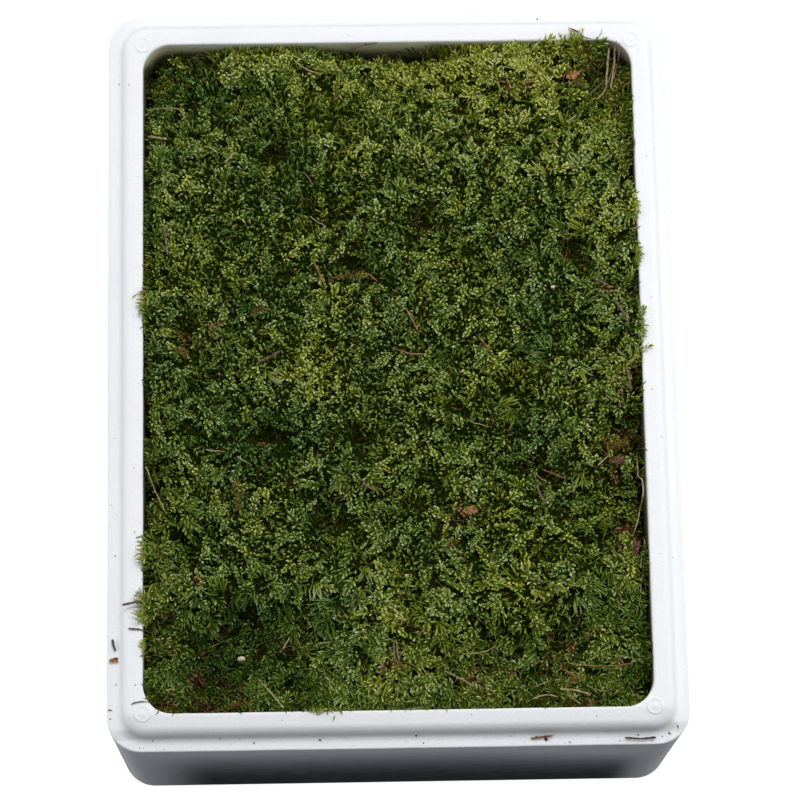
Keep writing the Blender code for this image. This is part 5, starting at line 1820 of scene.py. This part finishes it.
@dataclass
class FineLitter:
    """Hairs, dead fronds, peat specks and threads in the gaps, joined by finish."""

    relief: MossRelief
    moss: Material
    stalks: Dict[str, Material]
    sides: int = 6
    points: int = 16
    thread_tries: int = 60000
    thread_count: int = 3200
    thread_girth: Sequence[float] = (0.7, 1, 1, 0.8, 0.4)
    random_specks: int = 110
    seed: int = 61

    def ground(self, x: Array, y: Array) -> Array:
        """Height of what lies below each point: the mat, the collar or the ledge."""
        tray = FoamTray().top_height(x, y)
        inside = grade(wall_distance(x, y), 0, 2.5 * MM)
        mat = np.maximum(self.relief.height(x, y), 131 * MM)
        return np.where(inside > 0, np.maximum(mat, tray * (1 - inside) + mat * inside), tray)

    def level_line(self, route: Sequence[Tuple[float, float]]) -> Array:
        """A smooth line at height 0 through points in millimetres."""
        return smooth_line(np.array([(x * MM, y * MM, 0) for x, y in route]), self.points)

    def hairs(self, routes: Sequence, name: str, material: Material, slot: Slot) -> None:
        """Makes the hairs of one list.

        Args:
            routes: Widths and routes.
            name: The piece's name.
            material: Its finish.
            slot: Its slot.
        """
        lines, radii = [], []
        along = np.linspace(0, 1, self.points)
        for number, (width, route) in enumerate(routes):
            line = self.level_line(route)
            for axis, seed in ((0, 100), (1, 200)):
                line[:, axis] += 0.25 * MM * smooth_noise(along * 5, along * 0, 1.0, seed + number)
            base = self.ground(line[:, 0], line[:, 1])
            bridge = np.interp(along, (0, 0.5, 1), (base[0], base.max(), base[-1])) - 0.8 * MM
            line[:, 2] = np.maximum(base, bridge) + 0.5 * width * MM + 0.15 * MM
            lines.append(line)
            radii.append(0.5 * width * MM * np.interp(along, (0, 0.1, 0.6, 1), (0.5, 1, 0.8, 0.3)))
        shape = sweep(np.array(lines), np.array(radii), self.sides)
        add_piece(name, shape, material, slot)

    def dead_fronds(self) -> None:
        """Makes dead fronds: a stem with short branches to both sides."""
        rng = np.random.default_rng(self.seed)
        shapes = []
        for width, route in DEAD_FRONDS:
            line = self.level_line(route)
            line[:, 2] = self.ground(line[:, 0], line[:, 1]) + 0.5 * MM
            stem = sweep(line[None], np.linspace(0.35, 0.15, self.points)[None] * MM, self.sides)
            ahead = unit(np.gradient(line, axis=0))
            index = np.repeat(np.arange(2, self.points - 1), 3)
            count = len(index)
            side = np.tile([1.0, -1.0, 0.4], count // 3)[:, None]
            across = unit(np.cross(ahead[index], UP)) * side
            turned = unit(ahead[index] * 0.8 + across + [0, 0, 0.25] + rng.normal(0, 0.2, (count, 3)))
            size = rng.uniform(1.6, 3.4, count) * MM
            # Tones darker to the foot as painted shade
            tone = rng.uniform(0.46, 0.82, (count, 1)) * [[0.5, 0.8, 0.95, 1.0]]
            branches = strands(line[index], turned, UP, size, np.full(count, width * 0.66 * MM),
                               rng.normal(0, 0.12, (count, 2)), tone, np.full(count, 0.87))
            stem.marks = rng.normal((0.5225, 0.95), 0.01, stem.marks.shape)
            shapes += [stem, branches]
        add_piece("dead_fronds", Shape.join(shapes), self.moss, Slot.MOSS, (), *LEAFY)

    def threads(self) -> None:
        """Makes brown and olive threads of dead moss in the gaps, hollows and brown patches."""
        rng = np.random.default_rng(self.seed + 1)
        x = rng.uniform(-OPENING_HALF_X, OPENING_HALF_X, self.thread_tries)
        y = rng.uniform(-OPENING_HALF_Y, OPENING_HALF_Y, self.thread_tries)
        rim = grade(wall_distance(x, y), 7 * MM, 0)
        wanted = 0.015 + 0.8 * wall_gap(x, y) * rim + 1.2 * nearness(BROWN_PATCHES, x, y) + 0.25 * rim
        wanted = wanted + 0.20 * nearness(DARK_HOLLOWS, x, y)
        keep = (wall_distance(x, y) > 1.2 * MM) & (rng.random(len(x)) < wanted * 0.35)
        x, y = x[keep][:self.thread_count], y[keep][:self.thread_count]
        count, share = len(x), np.linspace(0, 1, len(self.thread_girth))[None]
        towards = rng.uniform(0, 2 * np.pi, (count, 1)) + rng.normal(0, 0.9, (count, 1)) * share
        reach = rng.uniform(2.5, 8.0, (count, 1)) * MM
        line_x, line_y = walk(x, y, towards, reach / (share.size - 1))
        keep = (wall_distance(line_x, line_y) > 0.6 * MM).all(axis=1)
        line_x, line_y, count = line_x[keep], line_y[keep], int(keep.sum())
        sink = rng.uniform(0.2, 3.4, (count, 1)) * MM
        arch = rng.uniform(0, 0.9, (count, 1)) * MM * np.sin(np.pi * share)
        level = self.relief.height(line_x, line_y) - 0.75 * hollow_depth(line_x, line_y)
        radius = rng.uniform(0.10, 0.22, (count, 1)) * MM * np.array([self.thread_girth])
        shape = sweep(pack(line_x, line_y, level - sink + arch), radius, 3)
        each = 3 * share.size
        tone = np.repeat(rng.uniform(0.22, 0.70, count), each) + rng.normal(0, 0.05, count * each)
        hue = np.repeat(np.where(rng.random(count) < 0.75, 0.95, 0.60), each)
        shape.marks = map_marks(tone, hue + rng.normal(0, 0.012, count * each))
        add_piece("moss_threads", shape, self.moss, Slot.MOSS, (), *LEAFY)

    def specks(self) -> None:
        """Makes the specks of peat on the tray: those of the photograph and a sprinkle of finer ones."""
        rng = np.random.default_rng(self.seed + 2)
        spots = list(LEDGE_SPECKS + COLLAR_SPECKS)
        for _ in range(self.random_specks):
            if rng.random() < 0.62:
                slide, inset = rng.uniform(-140, 140), rng.uniform(1.2, 8.0)
                front = rng.random() < 0.7
                spots.append((slide, -200 + inset, rng.uniform(0.15, 0.36)) if front else
                             (np.sign(slide) * (150 - inset), slide * 1.3, rng.uniform(0.15, 0.32)))
            else:
                side = rng.choice([-1, 1])
                spots.append((side * rng.uniform(132.8, 138.4), rng.uniform(-185, 185),
                              rng.uniform(0.12, 0.3)))
        spots = np.array(spots) * MM
        size = spots[:, 2:3] * rng.uniform(0.6, 1.2, (len(spots), 3)) * [1.0, 0.75, 0.4]
        level = FoamTray().top_height(spots[:, 0], spots[:, 1])
        centres = np.column_stack([spots[:, :2], level + 0.6 * size[:, 2]])
        shape = lumps(centres, size, rng.uniform(0, np.pi, len(spots)), (6, 9), 0.5, 71)
        add_piece("peat_specks", shape, DIRT_FINISH.dress(), Slot.TWIG)

    def build(self) -> None:
        """Makes all of it."""
        self.hairs(PALE_HAIRS, "pale_hairs", self.stalks["straw"], Slot.STRAW)
        self.hairs(DARK_HAIRS, "dark_hairs", self.stalks["twig"], Slot.TWIG)
        self.dead_fronds()
        self.threads()
        self.specks()


@dataclass
class Litter:
    """Everything that lies on the mat and the rim."""

    relief: MossRelief
    moss: Material

    def build(self) -> None:
        """Makes the litter; dead moss shares the shoots' finish."""
        stalks = {kind: look.finish.dress() for kind, look in STALK_LOOKS.items()}
        odd = {STRAW_FINISH: stalks["straw"]}
        for finish in (DARK_STRAW_FINISH, BLACK_TWIG_FINISH, TAN_NEEDLE_FINISH):
            odd[finish] = finish.dress()
        leaf, dark_leaf, crumb = LEAF_FINISH.dress(), DARK_LEAF_FINISH.dress(), CRUMB_FINISH.dress()
        for seed, name in enumerate(sorted(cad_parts)):
            kind = name.rstrip("0123456789").rstrip("_")
            if kind in STALK_LOOKS:
                material = odd[ODD_FINISHES[name]] if name in ODD_FINISHES else stalks[kind]
                Stalk(name, material, seed, STALK_LOOKS[kind]).build()
            elif kind == "leaf_scrap":
                material = dark_leaf if name in DARK_LEAVES else leaf
                LeafScrap(name, material, seed, sunk=ODD_SINKS.get(name, LEAF_SINK)).build()
            elif kind == "crumb":
                Crumb(name, crumb, seed).build()
        FineLitter(self.relief, self.moss, stalks).build()


# Studio


@dataclass(frozen=True)
class Studio:
    """Camera at the photograph's angle, a pale floor, a soft key and a sky that is bright at the back."""

    target: Tuple[float, float, float] = (3.2 * MM, -16.1 * MM, 135 * MM)
    distance: float = 1802.5 * MM
    elevation: float = 75.6
    azimuth: float = -4.61
    roll: float = 3.67
    lens: float = 154.67
    floor_size: float = 12.0
    sky_lean: Tuple[float, float, float] = (0.46, 0.44, 0.58)
    sky_strength: float = 0.62

    def camera(self) -> None:
        """Places the camera at the angles, and rolls it about its axis."""
        turn = Matrix.Rotation(math.radians(self.azimuth), 3, "Z")
        turn = turn @ Matrix.Rotation(math.radians(90 - self.elevation), 3, "X")
        turn = turn @ Matrix.Rotation(math.radians(self.roll), 3, "Z")
        back = turn @ Vector((0, 0, 1))
        data = bpy.data.cameras.new("camera")
        data.lens, data.sensor_width, data.clip_start = self.lens, 36, 0.01
        camera = new_object("camera", data)
        place = Vector(self.target) + back * self.distance
        camera.matrix_world = Matrix.Translation(place) @ turn.to_4x4()
        bpy.context.scene.camera = camera

    def floor(self) -> None:
        """A plain pale floor, which glows a little so that it stays pale."""
        half = self.floor_size / 2
        mesh = bpy.data.meshes.new("floor")
        mesh.from_pydata([(-half, -half, 0), (half, -half, 0), (half, half, 0), (-half, half, 0)], [],
                         [(0, 1, 2, 3)])
        finish = Finish("floor", roughness=1.0, specular=0.0)
        looks = {"Base Color": (0.8, 0.8, 0.8, 1), "Emission Color": (1, 1, 1, 1), "Emission Strength": 0.82}
        for socket, value in looks.items():
            finish.shader.inputs[socket].default_value = value
        mesh.materials.append(finish.material)
        floor = new_object("floor", mesh)
        floor.visible_diffuse = floor.visible_glossy = False

    def lamp(self, name: str, place: Tuple[float, float, float], size: float, watts: float,
             tint: Colour) -> None:
        """A square area light that points at the tray."""
        data = bpy.data.lights.new(name, "AREA")
        data.size, data.energy, data.color = size, watts, tint
        lamp = new_object(name, data)
        lamp.location = place
        aim = Vector(self.target) - Vector(place)
        lamp.rotation_euler = aim.to_track_quat("-Z", "Y").to_euler()

    def room(self) -> None:
        """A sky whose brightness grows with the direction's height and its lean to the back and right."""
        world = bpy.data.worlds.new("room")
        bpy.context.scene.world = world
        world.use_nodes = True
        tree = NodeTree(world.node_tree)
        x, y, z = tree.axes(tree.node("ShaderNodeTexCoord", {}, {}).outputs["Generated"])
        facing = abs(x) * self.sky_lean[0] + x * 0.08 + y * self.sky_lean[1] + z * self.sky_lean[2]
        stops = ((0.0, (0.15, 0.165, 0.185)), (0.14, (0.27, 0.29, 0.31)), (0.5, (0.94, 0.97, 1.0)))
        ground = world.node_tree.nodes["Background"]
        world.node_tree.links.new(tree.ramp(facing, stops), ground.inputs["Color"])
        ground.inputs["Strength"].default_value = self.sky_strength

    def build(self) -> None:
        """Sets up camera, floor and light."""
        bpy.context.scene.view_settings.view_transform = "Standard"
        self.camera()
        self.floor()
        self.room()
        self.lamp("key", (0.32, 0.75, 1.80), 0.5, 15.0, (1.0, 0.985, 0.96))
        self.lamp("left fill", (-1.30, 0.10, 0.45), 0.8, 4.0, (0.97, 0.98, 1.0))
        self.lamp("right fill", (0.75, 0.05, 0.40), 0.5, 1.5, (1.0, 1.0, 1.0))


def main() -> None:
    """Builds the studio, the tray and the moss in order."""
    logging.basicConfig(level=logging.INFO, format="%(name)s: %(message)s")
    Studio().build()
    FoamTray().build()
    Litter(*MossMat().build()).build()


if __name__ == "__main__":
    main()
